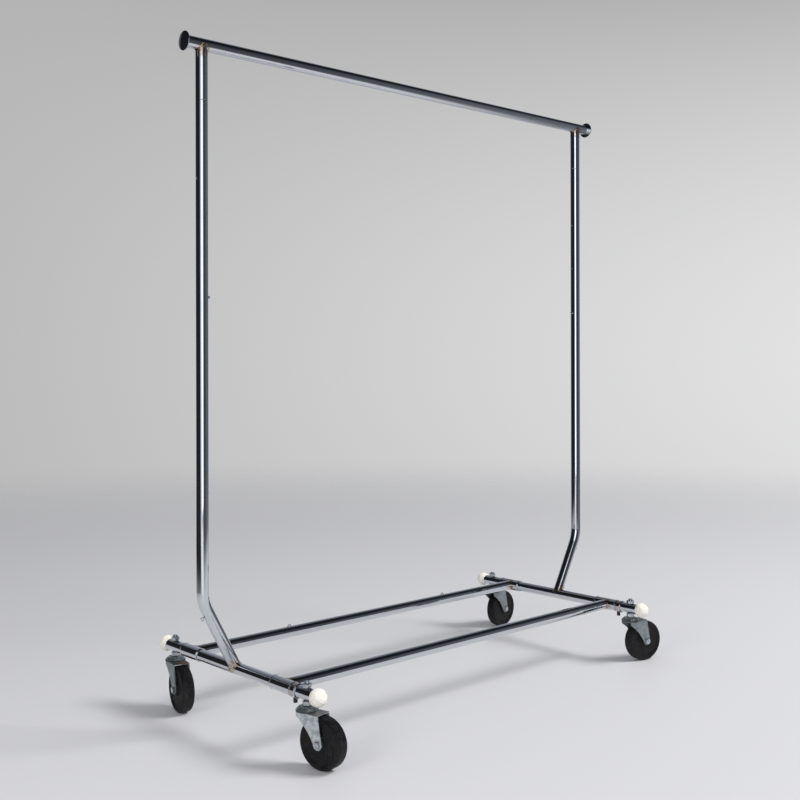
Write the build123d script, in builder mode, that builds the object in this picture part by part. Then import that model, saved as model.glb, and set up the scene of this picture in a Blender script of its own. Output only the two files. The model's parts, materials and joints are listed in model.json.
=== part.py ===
from build123d import *
import os
from math import acos, atan2, cos, degrees, hypot, radians, sin, sqrt, tan

# Rolling clothes rack of chromed steel tube: a telescoping top frame in two bent
# uprights, a cross tube with bumpers and casters under each upright, and two base
# rails whose sleeves turn on the cross tubes.
# The origin is on the floor, midway between the uprights. +X runs along the hanging
# rail, -Y is the front and +Z is up. All sizes are in millimetres.

os.makedirs("parts", exist_ok=True)

# Clearances
SLIDE_CLEARANCE = 0.3    # each side, between pieces that slide or turn on each other
FIT_GAP = 0.1            # each side, between pieces that are fixed to each other
RUNNING_FIT = 0.08       # each side, between a wheel and its axle

# Tubing
TUBE_OD = 25.4
TUBE_WALL = 1.2
INNER_WALL = 1.2
TUBE_BORE = TUBE_OD - 2 * TUBE_WALL
INNER_OD = TUBE_BORE - 2 * SLIDE_CLEARANCE
INNER_BORE = INNER_OD - 2 * INNER_WALL
SEAM_CHAMFER = 0.6       # broken edge where two tube ends butt together

# Layout
UPRIGHT_SPAN = 1219.2    # between the axes of the two uprights
CROSS_SPAN = 1056.0      # between the axes of the two cross tubes
CROSS_Z = 137.0          # height of the cross tubes and base rails
KNEE_Z = 287.8           # height where an upright's straight and leaning axes meet
BEND_R = 86.0            # centre-line radius of the upright's bend
SEAM_Z = 1314.5          # height of the joint between the stub and the upright
STUB_RISE = 115.5        # from that joint up to the hanging rail's axis
HANG_Z = SEAM_Z + STUB_RISE
RAIL_END_LEFT = 649.0    # from the middle of the rack to the left end of the rail
RAIL_END_RIGHT = 656.0   # from the middle of the rack to the right end of the rail
UPRIGHT_X = UPRIGHT_SPAN / 2
CROSS_X = CROSS_SPAN / 2

# End caps of the hanging rail
CAP_OD = 40.0
CAP_RIM = 2.0
CAP_RISE = 4.0
CAP_PLUG_LENGTH = 14.0
CAP_PLUG_BORE = 17.0

# Telescoping tubes and their snap buttons
INNER_TOP_DROP = 30.0    # from the hanging rail's axis down to the inner tube
BUTTON_OD = 7.0
BUTTON_PROUD = 4.5
BUTTON_DOME = 1.2
SETTING_Z = 912.0        # height of the lowest adjusting hole
SETTING_PITCH = 121.0
SETTING_COUNT = 3
INNER_TAIL = 62.0        # inner tube below its snap button
INNER_TOP_Z = HANG_Z - INNER_TOP_DROP
INNER_BOTTOM_Z = SETTING_Z - INNER_TAIL
CLIP_WIDTH = 5.0         # leaf spring behind a snap button
CLIP_THICKNESS = 0.7
CLIP_HEIGHT = 42.0
CLIP_TAIL = 9.0

# Eye on the outer side of each leg
EYE_Z = 261.0
EYE_OD = 8.4
EYE_WIRE = 1.8
EYE_SHANK_OD = 3.0
EYE_REACH = 1.0          # from the tube's face to the ring

# Cross tubes and bumpers
CROSS_LENGTH = 540.0
BALL_OD = 36.0
BALL_SEAT = 6.0          # bumper's centre beyond the tube's end
BALL_Y = CROSS_LENGTH / 2 + BALL_SEAT

# Base rails and their sleeves
RAIL_INSET = 102.0       # base rail's axis back from the cross tube's end
RAIL_Y = CROSS_LENGTH / 2 - RAIL_INSET
SLEEVE_LENGTH = 65.0
SLEEVE_WALL = 1.4
SLEEVE_RIM = 0.5         # how far a sleeve's end bead stands out
SLEEVE_RIM_WIDTH = 2.0
FRONT_SEAM_X = 424.0
REAR_SEAM_X = 386.0
SPIGOT_LENGTH = 80.0
SPIGOT_WALL = 1.5
LOOP_LEFT_X = 263.0
LOOP_RIGHT_X = 249.0
LOOP_WIDTH = 11.0
LOOP_RISE = 5.0
LOOP_WIRE = 2.2
SLEEVE_BORE = TUBE_OD + 2 * SLIDE_CLEARANCE
SLEEVE_OD = SLEEVE_BORE + 2 * SLEEVE_WALL

# Locks at the front sleeves
COLLAR_WIDTH = 15.0
LOCK_OFFSET = 37.0       # lock pin in front of the base rail's axis
LOCK_Y = RAIL_Y + LOCK_OFFSET
PIN_OD = 4.4
PIN_ENGAGE = 3.0         # how far the pin's tip stands inside the cross tube's face
PIN_HEAD_LENGTH = 5.0
PIN_SHANK_OD = 2.4
BARREL_OD = 6.2
BARREL_LENGTH = 8.4
BARREL_FLOOR = 1.2
KNOB_OD = 8.8
KNOB_LENGTH = 10.4
KNOB_FLOOR = 1.6
LOCK_SPRING_WIRE = 0.5
LOCK_SPRING_COILS = 4
RING_WIRE = 2.2

# Casters
STEM_INSET = 28.0        # caster stem back from the cross tube's end
STEM_Y = CROSS_LENGTH / 2 - STEM_INSET
STEM_OD = 10.0
STEM_ABOVE_NUT = 4.0
HEX_ACROSS = 17.0
NUT_HEIGHT = 8.0
HEX_COLLAR_BOTTOM = 115.6
CUP_OD = 45.0
CUP_TOP_OD = 24.0
CUP_BOTTOM = 107.2
CUP_SHEET = 2.0
CUP_EDGE = 2.4
BALL_RACE_R = 14.0
RACE_BALL_OD = 4.6
RACE_BALL_COUNT = 7
CROWN_Z = 104.2
CROWN_OD = 45.0
FORK_SHEET = 2.5
FORK_INNER = 32.0
FORK_REAR = 40.5
FORK_SKIRT = 8.0
FORK_END_R = 10.0
FORK_FRONT = 13.0
FORK_END_ANGLE = 205.0
KING_HEAD_OD = 17.0
KING_HEAD = 2.2
TRAIL = 41.0
WHEEL_OD = 101.6
WHEEL_WIDTH = 28.0
WHEEL_SHOULDER = 6.0
WHEEL_RIM_R = 41.0
WHEEL_RIDGE = 1.2
WHEEL_WEB_HALF = 11.5
HUB_R = 13.0
AXLE_OD = 8.0
AXLE_HEAD_ACROSS = 13.0
AXLE_HEAD = 4.5
AXLE_NUT = 5.0
AXLE_THREAD = 1.0        # how far the bolt stands out past its nut
CASTER_POSES = {
    "front_left": (-1, -1, -79.0),
    "rear_left": (-1, 1, -102.0),
    "front_right": (1, -1, -13.0),
    "rear_right": (1, 1, 5.5),
}

LEG_LEAN = degrees(atan2(UPRIGHT_X - CROSS_X, KNEE_Z - CROSS_Z))
WHEEL_R = WHEEL_OD / 2
TUBE_TOP = CROSS_Z + TUBE_OD / 2
TUBE_BOTTOM = CROSS_Z - TUBE_OD / 2
BUTTON_ROOT = sqrt((INNER_BORE / 2) ** 2 - (BUTTON_OD / 2) ** 2) - SLIDE_CLEARANCE
BUTTON_HOLE_OD = BUTTON_OD + 2 * SLIDE_CLEARANCE
PIN_HOLE_OD = PIN_OD + 2 * SLIDE_CLEARANCE
STEM_HOLE_OD = STEM_OD + 2 * SLIDE_CLEARANCE


def save(builder, name):
    """Label a finished sub-part and write its own file."""
    builder.part.label = name
    export_step(builder.part, f"parts/{name}.step")


def place(master, name, spots):
    """Put one finished shape at one or more locations, as one sub-part."""
    with BuildPart() as placed:
        with Locations(*spots):
            add(master.part)
    save(placed, name)


# ---------------------------------------------------------------- top frame

with BuildPart() as hang_rail:
    with BuildSketch(Plane.YZ.offset(-RAIL_END_LEFT)):
        with Locations((0, HANG_Z)):
            Circle(TUBE_OD / 2)
            Circle(TUBE_BORE / 2, mode=Mode.SUBTRACT)
    extrude(amount=RAIL_END_LEFT + RAIL_END_RIGHT)
save(hang_rail, "hang_rail")

with BuildPart() as end_cap:
    dome_radius = ((CAP_OD / 2) ** 2 + CAP_RISE**2) / (2 * CAP_RISE)
    dome_centre = CAP_RIM + CAP_RISE - dome_radius
    halfway = CAP_OD / 4
    with BuildSketch(Plane.XZ):
        with BuildLine():
            Polyline(
                (0, CAP_RIM + CAP_RISE),
                (0, 0),
                (CAP_PLUG_BORE / 2, 0),
                (CAP_PLUG_BORE / 2, -CAP_PLUG_LENGTH),
                (TUBE_BORE / 2 - FIT_GAP, -CAP_PLUG_LENGTH),
                (TUBE_BORE / 2 - FIT_GAP, 0),
                (CAP_OD / 2, 0),
                (CAP_OD / 2, CAP_RIM),
            )
            ThreePointArc(
                (CAP_OD / 2, CAP_RIM),
                (halfway, dome_centre + sqrt(dome_radius**2 - halfway**2)),
                (0, CAP_RIM + CAP_RISE),
            )
        make_face()
    revolve(axis=Axis.Z)
    rim_edge = end_cap.edges().filter_by(GeomType.CIRCLE).sort_by(SortBy.RADIUS)[-2:]
    fillet(rim_edge, CAP_RIM / 3)
place(end_cap, "left_end_cap", [Location((-RAIL_END_LEFT - FIT_GAP, 0, HANG_Z), (0, -90, 0))])
place(end_cap, "right_end_cap", [Location((RAIL_END_RIGHT + FIT_GAP, 0, HANG_Z), (0, 90, 0))])


def make_rail_stub(side, name):
    """Short tube coped and brazed under the hanging rail."""
    x = side * UPRIGHT_X
    with BuildPart() as stub:
        with BuildSketch(Plane.XY.offset(SEAM_Z)):
            with Locations((x, 0)):
                Circle(TUBE_OD / 2)
                Circle(INNER_OD / 2 + FIT_GAP, mode=Mode.SUBTRACT)
        extrude(amount=HANG_Z - SEAM_Z)
        rim = stub.edges().group_by(Axis.Z)[0].sort_by(SortBy.RADIUS)[-1]
        chamfer(rim, SEAM_CHAMFER)
        with Locations((x, 0, HANG_Z)):
            Cylinder(
                TUBE_OD / 2 + FIT_GAP,
                2 * TUBE_OD,
                rotation=(0, 90, 0),
                mode=Mode.SUBTRACT,
            )
    save(stub, name)


def make_inner_tube(side, name):
    """Telescoping tube fixed in the stub, with one hole for its snap button."""
    x = side * UPRIGHT_X
    with BuildPart() as inner:
        with BuildSketch(Plane.XY.offset(INNER_BOTTOM_Z)):
            with Locations((x, 0)):
                Circle(INNER_OD / 2)
                Circle(INNER_BORE / 2, mode=Mode.SUBTRACT)
        extrude(amount=INNER_TOP_Z - INNER_BOTTOM_Z)
        with Locations(Location((x, 0, SETTING_Z), (0, -side * 90, 0))):
            Cylinder(
                BUTTON_HOLE_OD / 2,
                TUBE_OD,
                align=(Align.CENTER, Align.CENTER, Align.MIN),
                mode=Mode.SUBTRACT,
            )
    save(inner, name)


for side, prefix in ((-1, "left"), (1, "right")):
    make_rail_stub(side, f"{prefix}_rail_stub")
    make_inner_tube(side, f"{prefix}_inner_tube")

with BuildPart() as snap_button:
    with BuildSketch(Plane.XY.offset(BUTTON_ROOT)):
        Circle(BUTTON_OD / 2)
    extrude(amount=TUBE_OD / 2 + BUTTON_PROUD - BUTTON_ROOT)
    fillet(snap_button.edges().group_by(Axis.Z)[-1], BUTTON_DOME)

with BuildPart() as button_spring:
    leaf_x = BUTTON_ROOT - FIT_GAP - CLIP_THICKNESS / 2
    neck_x = leaf_x / 3
    with BuildSketch(Plane.XZ):
        with BuildLine():
            Polyline(
                (-leaf_x, -CLIP_TAIL),
                (-leaf_x, CLIP_TAIL),
                (-neck_x, CLIP_HEIGHT - neck_x),
            )
            ThreePointArc(
                (-neck_x, CLIP_HEIGHT - neck_x),
                (0, CLIP_HEIGHT),
                (neck_x, CLIP_HEIGHT - neck_x),
            )
            Polyline(
                (neck_x, CLIP_HEIGHT - neck_x),
                (leaf_x, CLIP_TAIL),
                (leaf_x, -CLIP_TAIL),
            )
        trace(line_width=CLIP_THICKNESS)
    extrude(amount=CLIP_WIDTH / 2, both=True)

for side, prefix in ((-1, "left"), (1, "right")):
    spot = (side * UPRIGHT_X, 0, SETTING_Z)
    place(snap_button, f"{prefix}_snap_button", [Location(spot, (0, -side * 90, 0))])
    place(button_spring, f"{prefix}_button_spring", [Location(spot)])

# ----------------------------------------------------------------- uprights


def leg_eye_plane(side):
    """Plane on a leg's axis at the eye's height, facing straight out of the leg."""
    x = CROSS_X + (EYE_Z - CROSS_Z) * tan(radians(LEG_LEAN))
    out = (side * cos(radians(LEG_LEAN)), 0, -sin(radians(LEG_LEAN)))
    return Plane(origin=(side * x, 0, EYE_Z), x_dir=(0, 1, 0), z_dir=out)


def make_upright(side, name):
    """One tube: straight upright, bend and leaning leg coped to the cross tube."""
    x = side * UPRIGHT_X
    top_z = SEAM_Z - SLIDE_CLEARANCE
    with BuildPart() as upright:
        with BuildLine(Plane.XZ):
            FilletPolyline(
                (x, top_z), (x, KNEE_Z), (side * CROSS_X, CROSS_Z), radius=BEND_R
            )
        with BuildSketch(Plane.XY.offset(top_z)):
            with Locations((x, 0)):
                Circle(TUBE_OD / 2)
                Circle(TUBE_BORE / 2, mode=Mode.SUBTRACT)
        sweep()
        rim = upright.edges().group_by(Axis.Z)[-1].sort_by(SortBy.RADIUS)[-1]
        chamfer(rim, SEAM_CHAMFER)
        with Locations((side * CROSS_X, 0, CROSS_Z)):
            Cylinder(
                TUBE_OD / 2 + FIT_GAP,
                2 * TUBE_OD,
                rotation=(90, 0, 0),
                mode=Mode.SUBTRACT,
            )
        for setting in range(SETTING_COUNT):
            z = SETTING_Z + setting * SETTING_PITCH
            with Locations(Location((x, 0, z), (0, -side * 90, 0))):
                Cylinder(
                    BUTTON_HOLE_OD / 2,
                    TUBE_OD,
                    align=(Align.CENTER, Align.CENTER, Align.MIN),
                    mode=Mode.SUBTRACT,
                )
        top_setting = SETTING_Z + (SETTING_COUNT - 1) * SETTING_PITCH
        with Locations(Location((x, 0, top_setting), (0, side * 90, 0))):
            Cylinder(
                BUTTON_HOLE_OD / 2,
                TUBE_OD,
                align=(Align.CENTER, Align.CENTER, Align.MIN),
                mode=Mode.SUBTRACT,
            )
        with Locations(leg_eye_plane(side)):
            Cylinder(
                EYE_SHANK_OD / 2 + FIT_GAP,
                TUBE_OD,
                align=(Align.CENTER, Align.CENTER, Align.MIN),
                mode=Mode.SUBTRACT,
            )
    save(upright, name)


make_upright(-1, "left_upright")
make_upright(1, "right_upright")

with BuildPart() as leg_eye:
    ring_r = (EYE_OD - EYE_WIRE) / 2
    shank_root = TUBE_BORE / 2 - TUBE_WALL
    with Locations((0, 0, shank_root)):
        Cylinder(
            EYE_SHANK_OD / 2,
            TUBE_OD / 2 + EYE_REACH + EYE_WIRE / 2 - shank_root,
            align=(Align.CENTER, Align.CENTER, Align.MIN),
        )
    with Locations((0, 0, TUBE_OD / 2 + EYE_REACH + EYE_OD / 2)):
        Torus(ring_r, EYE_WIRE / 2, rotation=(0, 90, 0))
place(leg_eye, "leg_eyes", [leg_eye_plane(-1), leg_eye_plane(1)])

# -------------------------------------------------- cross tubes and bumpers


def make_cross_tube(side, name):
    """Tube from front to back with holes for two caster stems and a lock pin."""
    x = side * CROSS_X
    with BuildPart() as cross:
        with BuildSketch(Plane.XZ.offset(-CROSS_LENGTH / 2)):
            with Locations((x, CROSS_Z)):
                Circle(TUBE_OD / 2)
                Circle(TUBE_BORE / 2, mode=Mode.SUBTRACT)
        extrude(amount=CROSS_LENGTH)
        with Locations((x, -STEM_Y, CROSS_Z), (x, STEM_Y, CROSS_Z)):
            Cylinder(STEM_HOLE_OD / 2, 2 * TUBE_OD, mode=Mode.SUBTRACT)
        with Locations((x, -LOCK_Y, CROSS_Z)):
            Cylinder(
                PIN_HOLE_OD / 2,
                TUBE_OD,
                align=(Align.CENTER, Align.CENTER, Align.MAX),
                mode=Mode.SUBTRACT,
            )
    save(cross, name)


make_cross_tube(-1, "left_cross_tube")
make_cross_tube(1, "right_cross_tube")

with BuildPart() as ball_bumper:
    Sphere(BALL_OD / 2)
    socket_floor = CROSS_LENGTH / 2 - BALL_Y + FIT_GAP
    with Locations((0, 0, socket_floor)):
        Cylinder(
            TUBE_OD / 2 + FIT_GAP,
            BALL_OD,
            align=(Align.CENTER, Align.CENTER, Align.MAX),
            mode=Mode.SUBTRACT,
        )

for name, (side, end, _) in CASTER_POSES.items():
    spot = Location((side * CROSS_X, end * BALL_Y, CROSS_Z), (-end * 90, 0, 0))
    place(ball_bumper, f"{name}_bumper", [spot])

# --------------------------------------------------- base rails and sleeves


def make_base_rail(y, x_from, x_to, cope_x, name):
    """Tube along X, coped to the sleeve at cope_x and square at its other end."""
    with BuildPart() as rail:
        with BuildSketch(Plane.YZ.offset(x_from)):
            with Locations((y, CROSS_Z)):
                Circle(TUBE_OD / 2)
                Circle(TUBE_BORE / 2, mode=Mode.SUBTRACT)
        extrude(amount=x_to - x_from)
        square_end = -1 if cope_x == x_from else 0
        rim = rail.edges().group_by(Axis.X)[square_end].sort_by(SortBy.RADIUS)[-1]
        chamfer(rim, SEAM_CHAMFER)
        with Locations((cope_x, y, CROSS_Z)):
            Cylinder(
                SLEEVE_OD / 2 + FIT_GAP,
                2 * TUBE_OD,
                rotation=(90, 0, 0),
                mode=Mode.SUBTRACT,
            )
    save(rail, name)


for end, seam_x, prefix in ((-1, FRONT_SEAM_X, "front"), (1, REAR_SEAM_X, "rear")):
    y = end * RAIL_Y
    make_base_rail(y, -CROSS_X, seam_x - FIT_GAP / 2, -CROSS_X, f"{prefix}_base_rail")
    make_base_rail(y, seam_x + FIT_GAP / 2, CROSS_X, CROSS_X, f"{prefix}_rail_end")

with BuildPart() as spigot:
    with BuildSketch(Plane.YZ.offset(-SPIGOT_LENGTH / 2)):
        Circle(TUBE_BORE / 2 - FIT_GAP)
        Circle(TUBE_BORE / 2 - FIT_GAP - SPIGOT_WALL, mode=Mode.SUBTRACT)
    extrude(amount=SPIGOT_LENGTH)
seams = [
    Location((FRONT_SEAM_X, -RAIL_Y, CROSS_Z)),
    Location((REAR_SEAM_X, RAIL_Y, CROSS_Z)),
]
place(spigot, "rail_spigots", seams)

with BuildPart() as sleeve:
    with BuildSketch(Plane.XZ.offset(-SLEEVE_LENGTH / 2)):
        Circle(SLEEVE_OD / 2)
        Circle(SLEEVE_BORE / 2, mode=Mode.SUBTRACT)
    extrude(amount=SLEEVE_LENGTH)
    for start in (SLEEVE_LENGTH / 2, SLEEVE_RIM_WIDTH - SLEEVE_LENGTH / 2):
        with BuildSketch(Plane.XZ.offset(-start)):
            Circle(SLEEVE_OD / 2 + SLEEVE_RIM)
            Circle(SLEEVE_OD / 2 - SLEEVE_WALL / 2, mode=Mode.SUBTRACT)
        extrude(amount=SLEEVE_RIM_WIDTH)
for name, (side, end, _) in CASTER_POSES.items():
    place(sleeve, f"{name}_sleeve", [Location((side * CROSS_X, end * RAIL_Y, CROSS_Z))])

with BuildPart() as rail_loop:
    foot_x = (LOOP_WIDTH - LOOP_WIRE) / 2
    foot_z = TUBE_OD / 2 + 2 * FIT_GAP
    crest_z = TUBE_OD / 2 + LOOP_RISE - LOOP_WIRE / 2
    with BuildLine(Plane.XZ) as arch:
        ThreePointArc((-foot_x, foot_z), (0, crest_z), (foot_x, foot_z))
    with BuildSketch(Plane(origin=arch.line @ 0, z_dir=arch.line % 0)):
        Circle(LOOP_WIRE / 2)
    sweep()
place(
    rail_loop,
    "rail_loops",
    [Location((-LOOP_LEFT_X, RAIL_Y, CROSS_Z)), Location((LOOP_RIGHT_X, RAIL_Y, CROSS_Z))],
)

# --------------------------------------------------------- sleeve locks
# Each master piece is drawn about the cross tube's axis, at the lock pin's place.

collar_start = RAIL_Y + SLEEVE_LENGTH / 2 + FIT_GAP - LOCK_Y
collar_end = collar_start + COLLAR_WIDTH
tip_z = FIT_GAP - TUBE_OD / 2 + PIN_ENGAGE
shoulder_z = tip_z - PIN_HEAD_LENGTH
barrel_mouth_z = -SLEEVE_OD / 2 - BARREL_LENGTH
knob_top_z = -SLEEVE_OD / 2 - SLIDE_CLEARANCE
knob_bottom_z = knob_top_z - KNOB_LENGTH

with BuildPart() as lock_collar:
    with BuildSketch(Plane.XZ.offset(collar_start)):
        Circle(SLEEVE_OD / 2)
    extrude(amount=COLLAR_WIDTH)
    with Locations((0, 0, barrel_mouth_z)):
        Cylinder(
            BARREL_OD / 2,
            -barrel_mouth_z,
            align=(Align.CENTER, Align.CENTER, Align.MIN),
        )
    with BuildSketch(Plane.XZ.offset(collar_start)):
        Circle(TUBE_OD / 2 + FIT_GAP)
    extrude(amount=COLLAR_WIDTH, mode=Mode.SUBTRACT)
    with Locations((0, 0, barrel_mouth_z + BARREL_FLOOR)):
        Cylinder(
            PIN_HOLE_OD / 2,
            TUBE_OD,
            align=(Align.CENTER, Align.CENTER, Align.MIN),
            mode=Mode.SUBTRACT,
        )
    with Locations((0, 0, barrel_mouth_z)):
        Cylinder(
            PIN_SHANK_OD / 2 + SLIDE_CLEARANCE,
            TUBE_OD,
            align=(Align.CENTER, Align.CENTER, Align.CENTER),
            mode=Mode.SUBTRACT,
        )

with BuildPart() as lock_pin:
    with Locations((0, 0, shoulder_z)):
        Cylinder(
            PIN_OD / 2,
            PIN_HEAD_LENGTH,
            align=(Align.CENTER, Align.CENTER, Align.MIN),
        )
    chamfer(lock_pin.edges().group_by(Axis.Z)[-1], PIN_OD / 8)
    with Locations((0, 0, knob_bottom_z + KNOB_FLOOR / 2)):
        Cylinder(
            PIN_SHANK_OD / 2,
            shoulder_z - knob_bottom_z - KNOB_FLOOR / 2,
            align=(Align.CENTER, Align.CENTER, Align.MIN),
        )

with BuildPart() as lock_knob:
    with Locations((0, 0, knob_bottom_z)):
        Cylinder(
            KNOB_OD / 2,
            KNOB_LENGTH,
            align=(Align.CENTER, Align.CENTER, Align.MIN),
        )
    fillet(lock_knob.edges().group_by(Axis.Z)[0], KNOB_OD / 8)
    with Locations((0, 0, knob_bottom_z + KNOB_FLOOR)):
        Cylinder(
            BARREL_OD / 2 + SLIDE_CLEARANCE,
            KNOB_LENGTH,
            align=(Align.CENTER, Align.CENTER, Align.MIN),
            mode=Mode.SUBTRACT,
        )
    with Locations((0, 0, knob_bottom_z + KNOB_FLOOR / 2)):
        Cylinder(
            PIN_SHANK_OD / 2 + FIT_GAP,
            KNOB_LENGTH,
            align=(Align.CENTER, Align.CENTER, Align.MIN),
            mode=Mode.SUBTRACT,
        )

with BuildPart() as lock_spring:
    coil_r = PIN_OD / 2 - LOCK_SPRING_WIRE / 2
    low_z = barrel_mouth_z + BARREL_FLOOR + LOCK_SPRING_WIRE / 2 + FIT_GAP
    high_z = shoulder_z - LOCK_SPRING_WIRE / 2 - FIT_GAP
    with BuildLine():
        Helix((high_z - low_z) / LOCK_SPRING_COILS, high_z - low_z, coil_r, (0, 0, low_z))
    with BuildSketch(Plane(origin=(coil_r, 0, low_z), z_dir=(0, 1, 0))):
        Circle(LOCK_SPRING_WIRE / 2)
    sweep(is_frenet=True)

with BuildPart() as lock_ring:
    ring_y = -collar_end - FIT_GAP - RING_WIRE / 2
    with Locations((0, ring_y, 0)):
        Torus(TUBE_OD / 2 + FIT_GAP + RING_WIRE / 2, RING_WIRE / 2, rotation=(90, 0, 0))

lock_spots = []
for side, prefix in ((-1, "left"), (1, "right")):
    spot = Location((side * CROSS_X, -LOCK_Y, CROSS_Z))
    lock_spots.append(spot)
    place(lock_collar, f"{prefix}_lock_collar", [spot])
    place(lock_pin, f"{prefix}_lock_pin", [spot])
    place(lock_knob, f"{prefix}_lock_knob", [spot])
place(lock_spring, "lock_springs", lock_spots)
place(lock_ring, "lock_rings", lock_spots)

# ----------------------------------------------------------------- casters
# Each master piece is drawn about the stem's axis with the wheel trailing along +X.


def hexagon(across):
    """Regular hexagon of a given width across its flats."""
    return RegularPolygon(across / 2, 6, major_radius=False)


nut_bottom = TUBE_TOP + FIT_GAP
stem_top = nut_bottom + NUT_HEIGHT + STEM_ABOVE_NUT
crown_top = CROWN_Z + FORK_SHEET
king_head_bottom = CROWN_Z - SLIDE_CLEARANCE - KING_HEAD

with BuildPart() as caster_stem:
    with Locations((0, 0, king_head_bottom)):
        Cylinder(
            STEM_OD / 2,
            stem_top - king_head_bottom,
            align=(Align.CENTER, Align.CENTER, Align.MIN),
        )
    chamfer(caster_stem.edges().group_by(Axis.Z)[-1], STEM_OD / 10)
    with Locations((0, 0, king_head_bottom)):
        Cylinder(
            KING_HEAD_OD / 2,
            KING_HEAD,
            align=(Align.CENTER, Align.CENTER, Align.MIN),
        )
    with BuildSketch(Plane.XY.offset(HEX_COLLAR_BOTTOM)):
        hexagon(HEX_ACROSS)
    extrude(amount=TUBE_BOTTOM - FIT_GAP - HEX_COLLAR_BOTTOM)

with BuildPart() as stem_nut:
    with BuildSketch(Plane.XY.offset(nut_bottom)):
        hexagon(HEX_ACROSS)
        Circle(STEM_OD / 2 + FIT_GAP, mode=Mode.SUBTRACT)
    extrude(amount=NUT_HEIGHT)

with BuildPart() as swivel_cup:
    cup_top = HEX_COLLAR_BOTTOM - FIT_GAP
    cup_rise = cup_top - CUP_BOTTOM - CUP_EDGE
    slope_r = (CUP_OD + CUP_TOP_OD) / 4
    slope_z = cup_top - cup_rise / 3
    with BuildSketch(Plane.XZ):
        with BuildLine():
            Polyline(
                (CUP_OD / 2, CUP_BOTTOM + CUP_EDGE),
                (CUP_OD / 2, CUP_BOTTOM),
                (CUP_OD / 2 - CUP_SHEET, CUP_BOTTOM),
                (CUP_OD / 2 - CUP_SHEET, CUP_BOTTOM + CUP_EDGE - CUP_SHEET / 2),
            )
            ThreePointArc(
                (CUP_OD / 2 - CUP_SHEET, CUP_BOTTOM + CUP_EDGE - CUP_SHEET / 2),
                (slope_r - CUP_SHEET / 4, slope_z - CUP_SHEET),
                (CUP_TOP_OD / 2, cup_top - CUP_SHEET),
            )
            Polyline(
                (CUP_TOP_OD / 2, cup_top - CUP_SHEET),
                (STEM_OD / 2 + FIT_GAP, cup_top - CUP_SHEET),
                (STEM_OD / 2 + FIT_GAP, cup_top),
                (CUP_TOP_OD / 2, cup_top),
            )
            ThreePointArc(
                (CUP_TOP_OD / 2, cup_top),
                (slope_r, slope_z),
                (CUP_OD / 2, CUP_BOTTOM + CUP_EDGE),
            )
        make_face()
    revolve(axis=Axis.Z)

with BuildPart() as race_balls:
    with Locations((0, 0, crown_top + SLIDE_CLEARANCE + RACE_BALL_OD / 2)):
        with PolarLocations(BALL_RACE_R, RACE_BALL_COUNT):
            Sphere(RACE_BALL_OD / 2)

with BuildPart() as fork:
    with BuildSketch(Plane.XY.offset(CROWN_Z)):
        Circle(CROWN_OD / 2)
        with Locations((FORK_REAR / 2, 0)):
            Rectangle(FORK_REAR, FORK_INNER + 2 * FORK_SHEET)
        Circle(STEM_OD / 2 + SLIDE_CLEARANCE, mode=Mode.SUBTRACT)
    extrude(amount=FORK_SHEET)
    rear_corner = (FORK_REAR, crown_top)
    to_rear = hypot(rear_corner[0] - TRAIL, rear_corner[1] - WHEEL_R)
    rear_angle = atan2(rear_corner[1] - WHEEL_R, rear_corner[0] - TRAIL) - acos(
        FORK_END_R / to_rear
    )
    front_angle = radians(FORK_END_ANGLE)
    rear_touch = (
        TRAIL + FORK_END_R * cos(rear_angle),
        WHEEL_R + FORK_END_R * sin(rear_angle),
    )
    front_touch = (
        TRAIL + FORK_END_R * cos(front_angle),
        WHEEL_R + FORK_END_R * sin(front_angle),
    )
    front_way = (sin(front_angle), -cos(front_angle))
    with BuildSketch(Plane.XZ.offset(FORK_INNER / 2)):
        with BuildLine():
            Polyline(
                (-FORK_FRONT, CROWN_Z - FORK_SKIRT),
                (-FORK_FRONT, crown_top),
                rear_corner,
                rear_touch,
            )
            ThreePointArc(
                rear_touch,
                (TRAIL, WHEEL_R - FORK_END_R),
                front_touch,
            )
            TangentArc(
                front_touch,
                (-FORK_FRONT, CROWN_Z - FORK_SKIRT),
                tangent=front_way,
            )
        make_face()
        with Locations((TRAIL, WHEEL_R)):
            Circle(AXLE_OD / 2 + FIT_GAP, mode=Mode.SUBTRACT)
    extrude(amount=FORK_SHEET)
    mirror(about=Plane.XZ)

with BuildPart() as axle_bolt:
    hub_half = FORK_INNER / 2 + FORK_SHEET + FIT_GAP
    with BuildSketch(Plane.XZ.offset(-hub_half - AXLE_NUT - AXLE_THREAD)):
        with Locations((TRAIL, WHEEL_R)):
            Circle(AXLE_OD / 2)
    extrude(amount=2 * hub_half + AXLE_NUT + AXLE_THREAD + AXLE_HEAD / 2)
    with BuildSketch(Plane.XZ.offset(hub_half)):
        with Locations((TRAIL, WHEEL_R)):
            hexagon(AXLE_HEAD_ACROSS)
    extrude(amount=AXLE_HEAD)
    with BuildSketch(Plane.XZ.offset(-hub_half)):
        with Locations((TRAIL, WHEEL_R)):
            hexagon(AXLE_HEAD_ACROSS)
    extrude(amount=-AXLE_NUT)

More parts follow.
